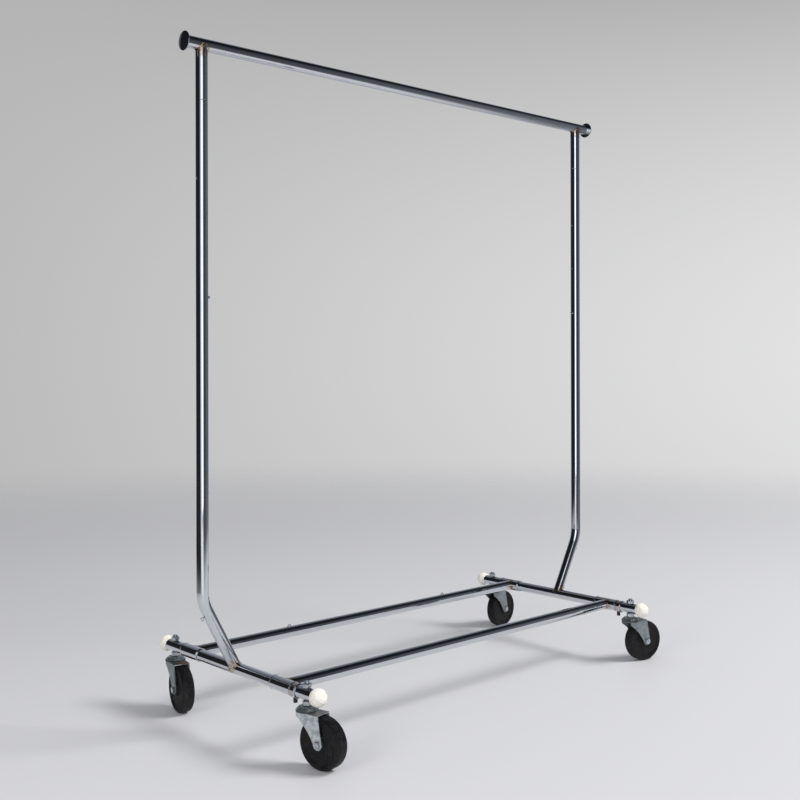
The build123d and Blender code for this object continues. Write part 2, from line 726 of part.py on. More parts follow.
with BuildPart() as wheel:
    hub_half = FORK_INNER / 2 - SLIDE_CLEARANCE
    bore_r = AXLE_OD / 2 + RUNNING_FIT
    with BuildSketch(Plane.XY):
        with BuildLine():
            Polyline(
                (bore_r, 0),
                (bore_r, hub_half),
                (HUB_R, hub_half),
                (HUB_R + WHEEL_RIDGE, WHEEL_WEB_HALF),
                (WHEEL_RIM_R - 2 * WHEEL_RIDGE, WHEEL_WEB_HALF),
                (WHEEL_RIM_R, WHEEL_WIDTH / 2 - WHEEL_RIDGE / 2),
                (WHEEL_R - WHEEL_SHOULDER, WHEEL_WIDTH / 2),
            )
            ThreePointArc(
                (WHEEL_R - WHEEL_SHOULDER, WHEEL_WIDTH / 2),
                (
                    WHEEL_R - WHEEL_SHOULDER * (1 - sqrt(0.5)),
                    WHEEL_WIDTH / 2 - WHEEL_SHOULDER * (1 - sqrt(0.5)),
                ),
                (WHEEL_R, WHEEL_WIDTH / 2 - WHEEL_SHOULDER),
            )
            Polyline(
                (WHEEL_R, WHEEL_WIDTH / 2 - WHEEL_SHOULDER),
                (WHEEL_R, 0),
                (bore_r, 0),
            )
        make_face()
    revolve(axis=Axis.Y)
    mirror(about=Plane.XZ)

stem_spots = []
for name, (side, end, angle) in CASTER_POSES.items():
    spot = Location((side * CROSS_X, end * STEM_Y, 0), (0, 0, angle))
    axle_spot = spot * Location((TRAIL, 0, WHEEL_R))
    stem_spots.append(Location((side * CROSS_X, end * STEM_Y, 0)))
    place(caster_stem, f"{name}_stem", [stem_spots[-1]])
    place(swivel_cup, f"{name}_swivel_cup", [stem_spots[-1]])
    place(fork, f"{name}_fork", [spot])
    place(axle_bolt, f"{name}_axle", [spot])
    place(wheel, f"{name}_wheel", [axle_spot])
place(stem_nut, "stem_nuts", stem_spots)
place(race_balls, "swivel_balls", stem_spots)
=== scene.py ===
# %% [markdown]
# # A rolling clothes rack
# The imported model gives every piece its real size and place. This lesson gives the
# pieces their finished shapes and finishes: chromed tube, brazed joints, pressed
# casters, rubber wheels. It starts by loading the frame.

# %% Load the frame
import json
from math import acos, atan2, cos, hypot, pi, radians, sin, tan

import bpy
from mathutils import Matrix, Vector


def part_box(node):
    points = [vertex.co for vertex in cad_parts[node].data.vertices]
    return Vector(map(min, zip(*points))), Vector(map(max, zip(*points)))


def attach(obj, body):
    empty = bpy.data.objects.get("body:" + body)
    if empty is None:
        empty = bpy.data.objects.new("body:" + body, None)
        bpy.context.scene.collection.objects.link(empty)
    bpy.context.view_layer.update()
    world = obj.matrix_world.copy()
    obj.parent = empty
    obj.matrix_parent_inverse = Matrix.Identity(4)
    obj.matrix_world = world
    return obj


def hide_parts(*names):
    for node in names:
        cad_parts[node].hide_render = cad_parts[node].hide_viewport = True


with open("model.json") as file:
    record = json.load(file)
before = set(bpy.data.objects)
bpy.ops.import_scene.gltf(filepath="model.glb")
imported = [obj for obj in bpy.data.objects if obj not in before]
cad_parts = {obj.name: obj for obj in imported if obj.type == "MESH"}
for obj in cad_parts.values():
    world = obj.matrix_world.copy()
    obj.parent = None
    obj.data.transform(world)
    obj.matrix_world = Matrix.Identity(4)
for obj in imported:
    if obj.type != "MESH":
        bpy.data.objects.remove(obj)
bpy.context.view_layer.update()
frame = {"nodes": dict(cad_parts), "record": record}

# %% [markdown]
# ## Sizes
# A maker writes the stock sizes on the drawing once: inch tube, its wall, and the
# heights of the joints. They are in metres here, with `MM` to write small ones. Each
# corner of the base has a side, an end, and the angle at which its caster trails.

# %% Sizes shared by the pieces
MM = 0.001
TUBE_R = 12.7 * MM
WALL = 1.2 * MM
BORE_R = TUBE_R - WALL
INNER_R = 11.2 * MM
FIT = 0.1 * MM
SLIDE = 0.3 * MM
BREAK = 0.3 * MM
CUT_THROUGH = 60 * MM
UPRIGHT_X = 609.6 * MM
CROSS_X = 528 * MM
CROSS_Z = 137 * MM
KNEE_Z = 287.8 * MM
BEND_R = 86 * MM
HANG_Z = 1430 * MM
SEAM_Z = 1314.5 * MM
RAIL_Y = 168 * MM
SLEEVE_R = 14.4 * MM
STEM_Y = 242 * MM
SIDES = 96
LEAN = atan2(UPRIGHT_X - CROSS_X, KNEE_Z - CROSS_Z)
ORIGIN = Vector((0, 0, 0))
X, Y, Z = Vector((1, 0, 0)), Vector((0, 1, 0)), Vector((0, 0, 1))
LEFT_AND_RIGHT = ((-1, "left"), (1, "right"))
CORNERS = {
    "front_left": (-1, -1, -79.0),
    "rear_left": (-1, 1, -102.0),
    "front_right": (1, -1, -13.0),
    "rear_right": (1, 1, 5.5),
}
print("the legs lean in by", round(LEAN * 180 / pi, 1), "degrees")

# %% [markdown]
# ## Shader maths
# A finish is easier to read as sums than as a web of wires. `Wire` wraps a socket, and
# adding or multiplying wires adds the Math nodes. `Bench.node` makes any other node.

# %% A wire and a bench
class Wire:
    """The output of a node. Sums on it add Math nodes."""

    def __init__(self, bench, socket):
        self.bench, self.socket = bench, socket

    def sum(self, operation, first, second):
        return self.bench.node("Math", {"operation": operation}, {0: first, 1: second})

    def __add__(self, other):
        return self.sum("ADD", self, other)

    def __sub__(self, other):
        return self.sum("SUBTRACT", self, other)

    def __rsub__(self, other):
        return self.sum("SUBTRACT", other, self)

    def __mul__(self, other):
        return self.sum("MULTIPLY", self, other)

    __radd__, __rmul__ = __add__, __mul__


class Bench:
    """The node tree of one finish."""

    def __init__(self, tree):
        self.tree = tree
        tree.nodes.clear()

    def node(self, kind, settings=None, inputs=None, out=0):
        made = self.tree.nodes.new("ShaderNode" + kind)
        for name, value in (settings or {}).items():
            if name == "stops":
                self.set_stops(made.color_ramp, value)
            else:
                setattr(made, name, value)
        for name, value in (inputs or {}).items():
            if isinstance(value, Wire):
                self.tree.links.new(value.socket, made.inputs[name])
            else:
                made.inputs[name].default_value = value
        return Wire(self, made.outputs[out]) if made.outputs else None

    def set_stops(self, ramp, stops):
        ramp.elements[0].position = stops[0][0]
        ramp.elements[1].position = stops[-1][0]
        for place, _ in stops[1:-1]:
            ramp.elements.new(place)
        for stop, (_, level) in zip(ramp.elements, stops):
            stop.color = (level, level, level, 1)

    def blend(self, factor, first, second):
        settings = {"data_type": "RGBA", "clamp_factor": True}
        inputs = {0: factor, 6: first, 7: second}
        return self.node("Mix", settings, inputs, out=2)

    def step(self, value, low, high):
        """0 below low, 1 above high, smooth between."""
        settings = {"interpolation_type": "SMOOTHSTEP", "clamp": True}
        inputs = {"Value": value, "From Min": low, "From Max": high}
        return self.node("MapRange", settings, inputs)


print("bench ready")

# %% [markdown]
# A finish reads the place of each point on the rack, so a pattern keeps its real size
# in metres. `grain` is noise whose marks have that size, and may run along one axis.

# %% Starting a finish
def start_finish(name, fixed):
    """A material with a bench, and a Principled surface whose fixed values are set."""
    material = bpy.data.materials.new(name)
    material.use_nodes = True
    bench = Bench(material.node_tree)
    bench.place = bench.node("TexCoord", out=3)
    bench.surface = bench.tree.nodes.new("ShaderNodeBsdfPrincipled")
    for word, value in fixed.items():
        bench.surface.inputs[word].default_value = value
    bench.skin = Wire(bench, bench.surface.outputs[0])
    bench.node("OutputMaterial", None, {"Surface": bench.skin})
    return material, bench


def feed(bench, word, wire):
    """Links what was worked out to a socket of the surface."""
    bench.tree.links.new(wire.socket, bench.surface.inputs[word])


def grain(bench, size, detail=3.0, stretch=None, seed=0.0):
    """Noise from about 0.3 to 0.7, with marks about size metres across."""
    place = bench.place
    if stretch or seed:
        inputs = {0: place, 1: stretch or (1, 1, 1), 2: (seed, seed, seed)}
        place = bench.node("VectorMath", {"operation": "MULTIPLY_ADD"}, inputs)
    inputs = {"Vector": place, "Scale": 1 / size, "Detail": detail}
    return bench.node("TexNoise", None, inputs)


def patches(bench, size, detail, low, high, **more):
    """Patches where the grain is strong: 0 below low, 1 above high."""
    return bench.step(grain(bench, size, detail, **more), low, high)


def relief(bench, height, depth, strength=1.0):
    """A Bump node that feeds the surface's normal."""
    inputs = {"Height": height, "Distance": depth, "Strength": strength}
    feed(bench, "Normal", bench.node("Bump", None, inputs))


def near(bench, points, inner, outer):
    """1 within inner metres of any of the points, 0 past outer."""
    away = None
    for point in points:
        inputs = {0: bench.place, 1: point}
        gap = bench.node("VectorMath", {"operation": "DISTANCE"}, inputs, out=1)
        clear = bench.step(gap, inner, outer)
        away = clear if away is None else away * clear
    return 1 - away


def height_of(bench):
    """How high a point is over the floor."""
    return bench.node("SeparateXYZ", None, {0: bench.place}, out=2)


print("finishes can be started")

# %% [markdown]
# ## Chrome
# Chrome plate is a mirror over polished steel. What is seen in it is the room, so the
# finish is mostly an even mirror, with the faults of a used rack: faint drawing lines
# along the tube, smudges from hands, a few dark specks, and straw-brown heat stains by
# the joints.

# %% Chromed tube
HEAT_POINTS = [
    (side * x, y, z)
    for side in (-1, 1)
    for x, y, z in (
        (UPRIGHT_X, 0, HANG_Z - TUBE_R),
        (CROSS_X + 6 * MM, 0, CROSS_Z + TUBE_R),
        (CROSS_X - SLEEVE_R, -RAIL_Y, CROSS_Z),
        (CROSS_X - SLEEVE_R, RAIL_Y, CROSS_Z),
    )
]
CHROME, POLISH = (0.66, 0.68, 0.72, 1), 0.05
HAND_SMUDGE = (0.50, 0.51, 0.53, 1)
DARK_SPECK = (0.22, 0.20, 0.18, 1)
HEAT_STRAW = (0.36, 0.24, 0.13, 1)


def make_chrome(name, along):
    """Mirror plate on tube that was drawn in the direction along."""
    material, bench = start_finish(name, {"Metallic": 1.0})
    smudge = patches(bench, 38 * MM, 1.5, 0.47, 0.75)
    lines = grain(bench, 1.1 * MM, 2.0, stretch=along)
    speck = patches(bench, 2.2 * MM, 2.0, 0.72, 0.78, seed=7.0)
    heat = near(bench, HEAT_POINTS, 12 * MM, 26 * MM)
    heat = heat * patches(bench, 6 * MM, 4.0, 0.34, 0.58, seed=3.0)
    plate = bench.blend(smudge * 0.25, CHROME, HAND_SMUDGE)
    plate = bench.blend(speck * 0.2, plate, DARK_SPECK)
    plate = bench.blend(heat * 0.75, plate, HEAT_STRAW)
    feed(bench, "Base Color", plate)
    feed(bench, "Roughness", POLISH + smudge * 0.03 + lines * 0.01 + heat * 0.12)
    relief(bench, lines, 0.004 * MM, 0.15)
    return material


chrome_upright = make_chrome("chrome_upright", (1, 1, 0.02))
chrome_rail = make_chrome("chrome_rail", (0.02, 1, 1))
chrome_cross = make_chrome("chrome_cross", (1, 0.02, 1))
print("three chrome finishes, one for each way that the tube runs")

# %% [markdown]
# The end caps are plated on their own, so they are darker, with a fine mottle. The
# inner tubes rub in the outer ones: their plate is duller, with long scratches up and
# down. Nuts, springs, balls and collars share the recipe with other numbers.

# %% Caps, inner tubes and small steel
def make_steel(name, colour, rough, size, stretch=None, wear=0.5):
    """Plain plated or bare steel with mottled shine."""
    material, bench = start_finish(name, {"Metallic": 1.0})
    cloud = patches(bench, size * 6, 4.0, 0.35, 0.68)
    mark = grain(bench, size, 3.0, stretch=stretch, seed=2.0)
    dull = tuple(channel * (1 - wear * 0.5) for channel in colour[:3]) + (1,)
    feed(bench, "Base Color", bench.blend(cloud * 0.7 + mark * 0.3, colour, dull))
    feed(bench, "Roughness", rough + cloud * rough * wear + mark * 0.05)
    relief(bench, mark, 0.02 * MM, 0.4)
    return material


FINISHES = {
    "chrome_cap": make_steel("cap_chrome", (0.52, 0.53, 0.56, 1), 0.07, 1.5 * MM),
    "inner_steel": make_steel(
        "inner_tube_plate", (0.60, 0.61, 0.63, 1), 0.14, 0.8 * MM, (1, 1, 0.02)
    ),
    "bright_zinc": make_steel(
        "bright_zinc_plate", (0.66, 0.69, 0.72, 1), 0.22, 0.7 * MM, wear=0.8
    ),
    "spring_steel": make_steel("spring_wire", (0.42, 0.41, 0.40, 1), 0.28, 0.4 * MM),
    "bearing_steel": make_steel("bearing_ball", (0.62, 0.61, 0.58, 1), 0.12, 0.6 * MM),
    "copper_plate": make_steel(
        "copper_plate", (0.62, 0.55, 0.53, 1), 0.09, 0.7 * MM, wear=0.4
    ),
}
print("small steel finishes:", ", ".join(FINISHES))

# %% [markdown]
# ## Zinc and braze
# The caster sheet is galvanised: a dull blue-grey skin of crystals a few millimetres
# across, with white bloom, a painted near-black shade on the crown top under the cup,
# and some rust where the skin has broken. Voronoi cells make the crystals, because each
# one has its own even shade. Three of the four forks are painted darker all over, a
# painted shade, so there are two zincs.

# %% Galvanised sheet
FORK_REAR, CROWN_EDGE_Z = 40.5 * MM, 104 * MM
way = radians(CORNERS["rear_left"][2])
RUST_SPOT = (
    -CROSS_X + FORK_REAR * cos(way), STEM_Y + FORK_REAR * sin(way), CROWN_EDGE_Z
)
# Painted shade: zinc above this band of height, the crown top in the crevice under the
# cup, is painted near-black.
CROWN_SHADE_Z = (104.4 * MM, 105.8 * MM)
ZINC_DARK, ZINC_PALE = (0.46, 0.52, 0.55, 1), (0.68, 0.74, 0.76, 1)
ZINC_BLOOM, ZINC_GRIME = (0.68, 0.71, 0.71, 1), (0.15, 0.17, 0.175, 1)
# Both colours on the next line are painted shade: a dark grey for the darkened forks,
# and near-black for the crown top under the cup.
ZINC_SHADED, PAINTED_CROWN_SHADE = (0.10, 0.125, 0.135, 1), (0.060, 0.055, 0.050, 1)
RUST = (0.13, 0.070, 0.042, 1)


def make_zinc(name, dull):
    """Galvanised sheet, with painted shade darkening it as far as dull says."""
    material, bench = start_finish(name, {"Specular IOR Level": 0.15})
    per_metre, bent = 300.0, (2 * MM, 2 * MM, 2 * MM)
    noise = {"Vector": bench.place, "Scale": per_metre}
    warp = bench.node("VectorMath", {"operation": "MULTIPLY_ADD"}, {
        0: bench.node("TexNoise", None, noise, out=1), 1: bent, 2: bench.place,
    })
    cells = bench.node("TexVoronoi", None, {"Vector": warp, "Scale": per_metre}, out=1)
    crystal = bench.node("RGBToBW", None, {"Color": cells})
    bloom = patches(bench, 7 * MM, 6.0, 0.47, 0.60, seed=4.0)
    grime = patches(bench, 10 * MM, 5.0, 0.46, 0.62, seed=9.0)
    rust = near(bench, [RUST_SPOT], 5 * MM, 22 * MM)
    rust = rust * patches(bench, 5 * MM, 5.0, 0.42, 0.58, seed=5.0)
    skin = bench.blend(crystal, ZINC_DARK, ZINC_PALE)
    skin = bench.blend(bloom * 0.45, skin, ZINC_BLOOM)
    skin = bench.blend(grime * 0.35, skin, ZINC_GRIME)
    # Painted shade: the sheet is darkened as far as dull says.
    skin = bench.blend(dull, skin, ZINC_SHADED)
    # Painted shade: the crown top in the crevice under the cup is blended to
    # near-black, and made less metallic.
    painted_shade = bench.step(height_of(bench), *CROWN_SHADE_Z)
    skin = bench.blend(painted_shade * 0.85, skin, PAINTED_CROWN_SHADE)
    skin = bench.blend(rust, skin, RUST)
    feed(bench, "Base Color", skin)
    feed(bench, "Metallic", (0.70 - bloom * 0.30 - rust * 0.6) * (1 - painted_shade * 0.7))
    feed(bench, "Roughness", 0.40 + bloom * 0.16 + crystal * 0.10 + rust * 0.3)
    relief(bench, crystal * 0.4 + bloom * 0.6, 0.06 * MM, 0.6)
    return material


FINISHES["zinc"] = make_zinc("galvanised_sheet", 0.0)
# Painted shade: a second zinc, darkened all over, makes three forks look as if they
# stood in less light.
shaded_zinc = make_zinc("shaded_galvanised_sheet", 0.62)
print("zinc made, and the same with age on it")

# %% [markdown]
# The cups are pressed and plated smoother than the forks. Their lips over the fork are
# painted near-black, a painted shade for the crevice between cup and crown, so the
# colour changes with the height of the point.

# %% Cup zinc
# Painted shade: below this band of height the cup's lip over the crown is painted
# near-black, for the crevice in shadow.
LIP_SHADE_Z = (108.0 * MM, 109.0 * MM)
CUP_PALE, CUP_DARK = (0.34, 0.38, 0.39, 1), (0.22, 0.25, 0.26, 1)
PAINTED_LIP_SHADE = (0.045, 0.043, 0.040, 1)


def make_cup_zinc():
    """Smoother zinc, with a painted near-black shade round the lip over the fork."""
    fixed = {"Metallic": 0.8, "Specular IOR Level": 0.5}
    material, bench = start_finish("cup_zinc", fixed)
    cloud = patches(bench, 7 * MM, 4.0, 0.35, 0.68)
    # Painted shade: the lip is blended to near-black below the band of height.
    painted_shade = 1 - bench.step(height_of(bench), *LIP_SHADE_Z)
    skin = bench.blend(cloud * 0.5, CUP_PALE, CUP_DARK)
    skin = bench.blend(painted_shade * 0.9, skin, PAINTED_LIP_SHADE)
    feed(bench, "Base Color", skin)
    feed(bench, "Roughness", 0.24 + cloud * 0.14)
    relief(bench, grain(bench, 1.2 * MM, 3.0), 0.03 * MM, 0.4)
    return material


# The near-black lip of the cup is painted shade; the print gives the height that it
# reaches.
cup_zinc = make_cup_zinc()
print("cup zinc made, with grease up to", round(LIP_SHADE_Z[1] / MM), "mm")

# %% [markdown]
# Braze is brass run into the joint and plated over thinly, so its bead is partly
# bright and partly yellow-brown, and lumpy where it froze.

# %% Braze bead
BRIGHT_BRAZE, BRASS, BURNT_FLUX = (
    (0.64, 0.62, 0.58, 1), (0.52, 0.33, 0.12, 1), (0.10, 0.06, 0.04, 1)
)


def make_braze():
    """Bright, brassy and burnt patches on a lumpy skin."""
    material, bench = start_finish("braze_bead", {"Metallic": 1.0})
    patch = patches(bench, 5 * MM, 4.0, 0.42, 0.58)
    burn = patches(bench, 3 * MM, 4.0, 0.52, 0.66, seed=6.0)
    metal = bench.blend(patch, BRIGHT_BRAZE, BRASS)
    metal = bench.blend(burn * 0.7, metal, BURNT_FLUX)
    feed(bench, "Base Color", metal)
    feed(bench, "Roughness", 0.18 + patch * 0.14 + burn * 0.2)
    relief(bench, grain(bench, 1.6 * MM, 2.0), 0.25 * MM)
    return material


braze_finish = make_braze()
print("braze made")

# %% [markdown]
# ## Rubber and plastic
# The wheels are hard black rubber with broad patches of dust and small scuffs. The
# bumpers are a cream moulding with a pebbled skin that has yellowed a little in
# patches. The pull knobs are plain black plastic, hazed by fingers.

# %% Rubber, bumper and knob
RUBBER, DUSTY_RUBBER, SCUFFED_RUBBER = (
    (0.005, 0.005, 0.006, 1), (0.020, 0.019, 0.019, 1), (0.055, 0.054, 0.053, 1)
)
CREAM, YELLOWED, PIT, HAND_GRIME = (
    (0.92, 0.90, 0.85, 1), (0.88, 0.84, 0.73, 1), (0.74, 0.69, 0.56, 1),
    (0.60, 0.54, 0.44, 1),
)
KNOB_BLACK, KNOB_HAZE = (0.008, 0.008, 0.009, 1), (0.025, 0.025, 0.027, 1)


def make_rubber():
    """Black body, dust in broad patches and scuffs in small ones."""
    material, bench = start_finish("black_rubber", {"Specular IOR Level": 0.25})
    scuff = patches(bench, 3 * MM, 6.0, 0.52, 0.70, stretch=(1, 1, 0.5))
    dust = patches(bench, 14 * MM, 5.0, 0.42, 0.72, seed=8.0)
    body = bench.blend(dust * 0.6, RUBBER, DUSTY_RUBBER)
    body = bench.blend(scuff * 0.45, body, SCUFFED_RUBBER)
    feed(bench, "Base Color", body)
    feed(bench, "Roughness", 0.52 + dust * 0.18 + scuff * 0.12)
    relief(bench, grain(bench, 0.9 * MM, 3.0) + scuff * 0.4, 0.05 * MM, 0.5)
    return material


def make_bumper_skin():
    """Cream that has yellowed, with pits and a little grime."""
    material, bench = start_finish("cream_moulding", {"Specular IOR Level": 0.4})
    patch = patches(bench, 6 * MM, 5.0, 0.40, 0.66)
    pit = patches(bench, 2.2 * MM, 3.0, 0.46, 0.62, seed=3.0)
    grime = patches(bench, 9 * MM, 5.0, 0.58, 0.74, seed=1.0)
    skin = bench.blend(patch, CREAM, YELLOWED)
    skin = bench.blend(pit * 0.5, skin, PIT)
    skin = bench.blend(grime * 0.3, skin, HAND_GRIME)
    feed(bench, "Base Color", skin)
    feed(bench, "Roughness", 0.45 + pit * 0.2)
    relief(bench, 1 - pit, 0.35 * MM, 0.8)
    return material


def make_knob_plastic():
    """Black, hazed by handling."""
    material, bench = start_finish("black_plastic", {})
    haze = grain(bench, 2 * MM, 4.0)
    feed(bench, "Base Color", bench.blend(haze, KNOB_BLACK, KNOB_HAZE))
    feed(bench, "Roughness", 0.28 + haze * 0.15)
    relief(bench, haze, 0.02 * MM, 0.4)
    return material


FINISHES["rubber"] = make_rubber()
FINISHES["bumper"] = make_bumper_skin()
FINISHES["black_plastic"] = make_knob_plastic()
print("finishes for", len(FINISHES) + 1, "slots")

# %% [markdown]
# ## The CAD nodes that stay
# Springs, balls and hidden spigots keep their CAD shape. Every node first gets the
# finish of its slot. Its triangles are loose, so a live Weld joins them and the faces
# are set smooth, with an Edge Split to keep the real corners sharp.

# %% Dress the CAD nodes
SLOT_OF = {row["node"]: row["material_slot"] for row in frame["record"]["subparts"]}
BODY_OF = {
    node: body
    for body, nodes in frame["record"]["behaviour"]["bodies"].items()
    for node in nodes
}
RUNS_ALONG_Y = ("cross_tube", "sleeve")
RUNS_ALONG_X = ("hang_rail", "base_rail", "rail_end", "rail_loops")


def finish_for(node):
    """The finish of a node's slot, with chrome drawn the way that the tube runs."""
    if SLOT_OF[node] != "chrome":
        return FINISHES[SLOT_OF[node]]
    if any(word in node for word in RUNS_ALONG_Y):
        return chrome_cross
    if any(word in node for word in RUNS_ALONG_X):
        return chrome_rail
    return chrome_upright


for name, node in frame["nodes"].items():
    node.data.materials.clear()
    node.data.materials.append(finish_for(name))
    node.data.shade_smooth()
    weld = node.modifiers.new("join", "WELD")
    weld.merge_threshold = 0.002 * MM
    split = node.modifiers.new("corners", "EDGE_SPLIT")
    split.split_angle = radians(32)
print("dressed", len(frame["nodes"]), "CAD nodes")

# %% [markdown]
# ## The tools for new pieces
# Everything round on the rack starts as a circle. A tube is a ring of wall, drawn out
# along its axis and spun round its bends. A turned piece is a profile, drawn point by
# point and spun about its axis, as on a lathe.

# %% Choosing and finishing
DOUBLES = 0.0005 * MM


def only(piece):
    """Selects one piece alone, in object mode."""
    if bpy.context.object and bpy.context.object.mode != "OBJECT":
        bpy.ops.object.mode_set(mode="OBJECT")
    bpy.ops.object.select_all(action="DESELECT")
    piece.select_set(True)
    bpy.context.view_layer.objects.active = piece


def name_new(name):
    """Names the primitive just added and bakes its place into its mesh."""
    piece = bpy.context.object
    piece.name = piece.data.name = name
    bpy.ops.object.transform_apply(location=True, rotation=True, scale=True)
    return piece


def open_mesh(piece, wanted=None, kind="VERT"):
    """Edit mode, with the points that wanted() accepts selected, or all of them."""
    only(piece)
    chosen = [wanted is None or bool(wanted(v.co)) for v in piece.data.vertices]
    piece.data.polygons.foreach_set("select", [False] * len(piece.data.polygons))
    piece.data.edges.foreach_set("select", [False] * len(piece.data.edges))
    piece.data.vertices.foreach_set("select", chosen)
    bpy.ops.object.mode_set(mode="EDIT")
    bpy.ops.mesh.select_mode(type="VERT")
    if kind != "VERT":
        bpy.ops.mesh.select_mode(type=kind)


def close_mesh():
    """Joins doubles, turns the faces outwards and leaves edit mode."""
    bpy.ops.mesh.select_mode(type="VERT")
    bpy.ops.mesh.select_all(action="SELECT")
    bpy.ops.mesh.remove_doubles(threshold=DOUBLES)
    bpy.ops.mesh.normals_make_consistent(inside=False)
    bpy.ops.object.mode_set(mode="OBJECT")


def apply(piece, kind, **settings):
    """Adds a modifier and applies it at once."""
    only(piece)
    modifier = piece.modifiers.new("step", kind)
    for word, value in settings.items():
        setattr(modifier, word, value)
    bpy.ops.object.modifier_apply(modifier=modifier.name)


def ease(piece, width, steps=2, angle=38):
    """Breaks the sharp edges by a small bevel and shades the rest smooth."""
    if width:
        apply(piece, "BEVEL", width=width, segments=steps, limit_method="ANGLE",
              angle_limit=radians(angle), harden_normals=False, miter_outer="MITER_ARC")
    only(piece)
    bpy.ops.object.shade_smooth_by_angle(angle=radians(angle))
    apply(piece, "WEIGHTED_NORMAL", keep_sharp=True, weight=80)
    return piece


print("pieces can be opened, closed and eased")

# %% [markdown]
# Holes and copes are cut as in the shop: a round tool the size of the hole, or of the
# tube that will sit there, is run through the piece.

# %% Tubes, rods and cuts
def aim(along):
    """The turn that brings the Z axis round to this direction."""
    return Vector(along).to_track_quat("Z", "Y").to_euler()


def start_tube(name, centre, along, radius=TUBE_R, wall=WALL):
    """A ring of wall, open for drawing out."""
    bpy.ops.object.select_all(action="DESELECT")
    bpy.ops.mesh.primitive_circle_add(
        vertices=SIDES, radius=radius, fill_type="NGON",
        location=centre, rotation=aim(along),
    )
    tube = name_new(name)
    bpy.ops.object.mode_set(mode="EDIT")
    bpy.ops.mesh.select_mode(type="FACE")
    bpy.ops.mesh.select_all(action="SELECT")
    bpy.ops.mesh.inset(thickness=wall)
    bpy.ops.mesh.delete(type="FACE")
    bpy.ops.mesh.select_all(action="SELECT")
    return tube


def draw_out(way):
    """Extrudes what is selected."""
    bpy.ops.mesh.extrude_region_move(TRANSFORM_OT_translate={"value": way})


def straight_tube(name, start, end, radius=TUBE_R, wall=WALL, edge=0.25 * MM):
    """A ring of wall drawn out from start to end, with its edges broken."""
    start, end = Vector(start), Vector(end)
    tube = start_tube(name, start, end - start, radius, wall)
    draw_out(end - start)
    close_mesh()
    return ease(tube, edge)


def rod(centre, along, radius, length, sides=SIDES):
    """A round cutting tool, centred on a point."""
    bpy.ops.object.select_all(action="DESELECT")
    bpy.ops.mesh.primitive_cylinder_add(
        vertices=sides, radius=radius, depth=length,
        location=centre, rotation=aim(along),
    )
    return name_new("tool")


def cut(piece, tool, operation="DIFFERENCE"):
    """Runs a tool through a piece, or joins it on, and clears the tool away."""
    apply(piece, "BOOLEAN", operation=operation, solver="EXACT", object=tool)
    bpy.data.objects.remove(tool)
    return piece


print("tubes can be drawn and cut")

# %% [markdown]
# The lathe works about the Z axis at the origin, and the finished piece is then turned
# to its own axis and set in place.

# %% The lathe
def arc(centre, radius, first, last, steps=8):
    """Points on an arc of a profile, by angles in degrees."""
    turns = [radians(first + (last - first) * i / steps) for i in range(steps + 1)]
    return [(centre[0] + radius * cos(t), centre[1] + radius * sin(t)) for t in turns]


def circle_through(first, middle, last):
    """Points from first to last on the circle that also passes through middle."""
    a, b, c = Vector(first), Vector(middle), Vector(last)
    ab, ac = b - a, c - a
    twice = 2 * (ab.x * ac.y - ab.y * ac.x)
    over = (ac.y * ab.length_squared - ab.y * ac.length_squared) / twice
    up = (ab.x * ac.length_squared - ac.x * ab.length_squared) / twice
    centre = a + Vector((over, up))
    start, end = (atan2(spot.y - centre.y, spot.x - centre.x) for spot in (a, c))
    turn = (end - start + pi) % (2 * pi) - pi
    radius = (a - centre).length
    return arc(centre, radius, start * 180 / pi, (start + turn) * 180 / pi)


def draw_line(name, points):
    """A line of edges through the points, left open in edit mode."""
    bpy.ops.object.select_all(action="DESELECT")
    bpy.ops.mesh.primitive_circle_add(vertices=3, radius=MM, location=points[0])
    piece = name_new(name)
    bpy.ops.object.mode_set(mode="EDIT")
    bpy.ops.mesh.select_mode(type="VERT")
    bpy.ops.mesh.select_all(action="SELECT")
    bpy.ops.mesh.merge(type="CENTER")
    for here, there in zip(points, points[1:]):
        step = Vector(there) - Vector(here)
        bpy.ops.mesh.extrude_vertices_move(TRANSFORM_OT_translate={"value": step})
    return piece


def join_ends(piece):
    """Closes a drawn line by an edge from its last point to its first."""
    bpy.ops.object.mode_set(mode="OBJECT")
    points = piece.data.vertices
    spots = [Vector(points[i].co) for i in (0, len(points) - 1)]
    open_mesh(piece, lambda spot: spot in spots)
    bpy.ops.mesh.edge_face_add()
    bpy.ops.mesh.select_all(action="SELECT")


def set_down(piece, centre, along):
    """Turns a piece from the Z axis to its own axis and moves it to its place."""
    only(piece)
    piece.rotation_euler = aim(along)
    piece.location = centre
    bpy.ops.object.transform_apply(location=True, rotation=True, scale=True)
    return piece


def turn_on_lathe(name, profile, centre=ORIGIN, along=Z, sides=SIDES):
    """Spins a closed profile of (radius, height) points, and clears loose edges."""
    piece = draw_line(name, [(radius, 0, height) for radius, height in profile])
    join_ends(piece)
    bpy.ops.mesh.spin(steps=sides, angle=2 * pi, center=(0, 0, 0), axis=(0, 0, 1))
    bpy.ops.mesh.select_all(action="SELECT")
    bpy.ops.mesh.remove_doubles(threshold=2 * DOUBLES)
    bpy.ops.mesh.delete_loose(use_verts=True, use_edges=True, use_faces=False)
    close_mesh()
    return set_down(piece, centre, along)


def report(piece):
    """Prints a piece's size in millimetres and its faces."""
    low = [min(v.co[i] for v in piece.data.vertices) / MM for i in range(3)]
    high = [max(v.co[i] for v in piece.data.vertices) / MM for i in range(3)]
    size = " x ".join(f"{b - a:.1f}" for a, b in zip(low, high))
    print(f"{piece.name}: {size} mm, {len(piece.data.polygons)} faces")


print("the lathe is ready")

# %% [markdown]
# A finished piece takes its finish and moves with the body of the nodes that it stands
# for. A piece that is used more than once is made once, and each
# copy gets a mesh of its own.

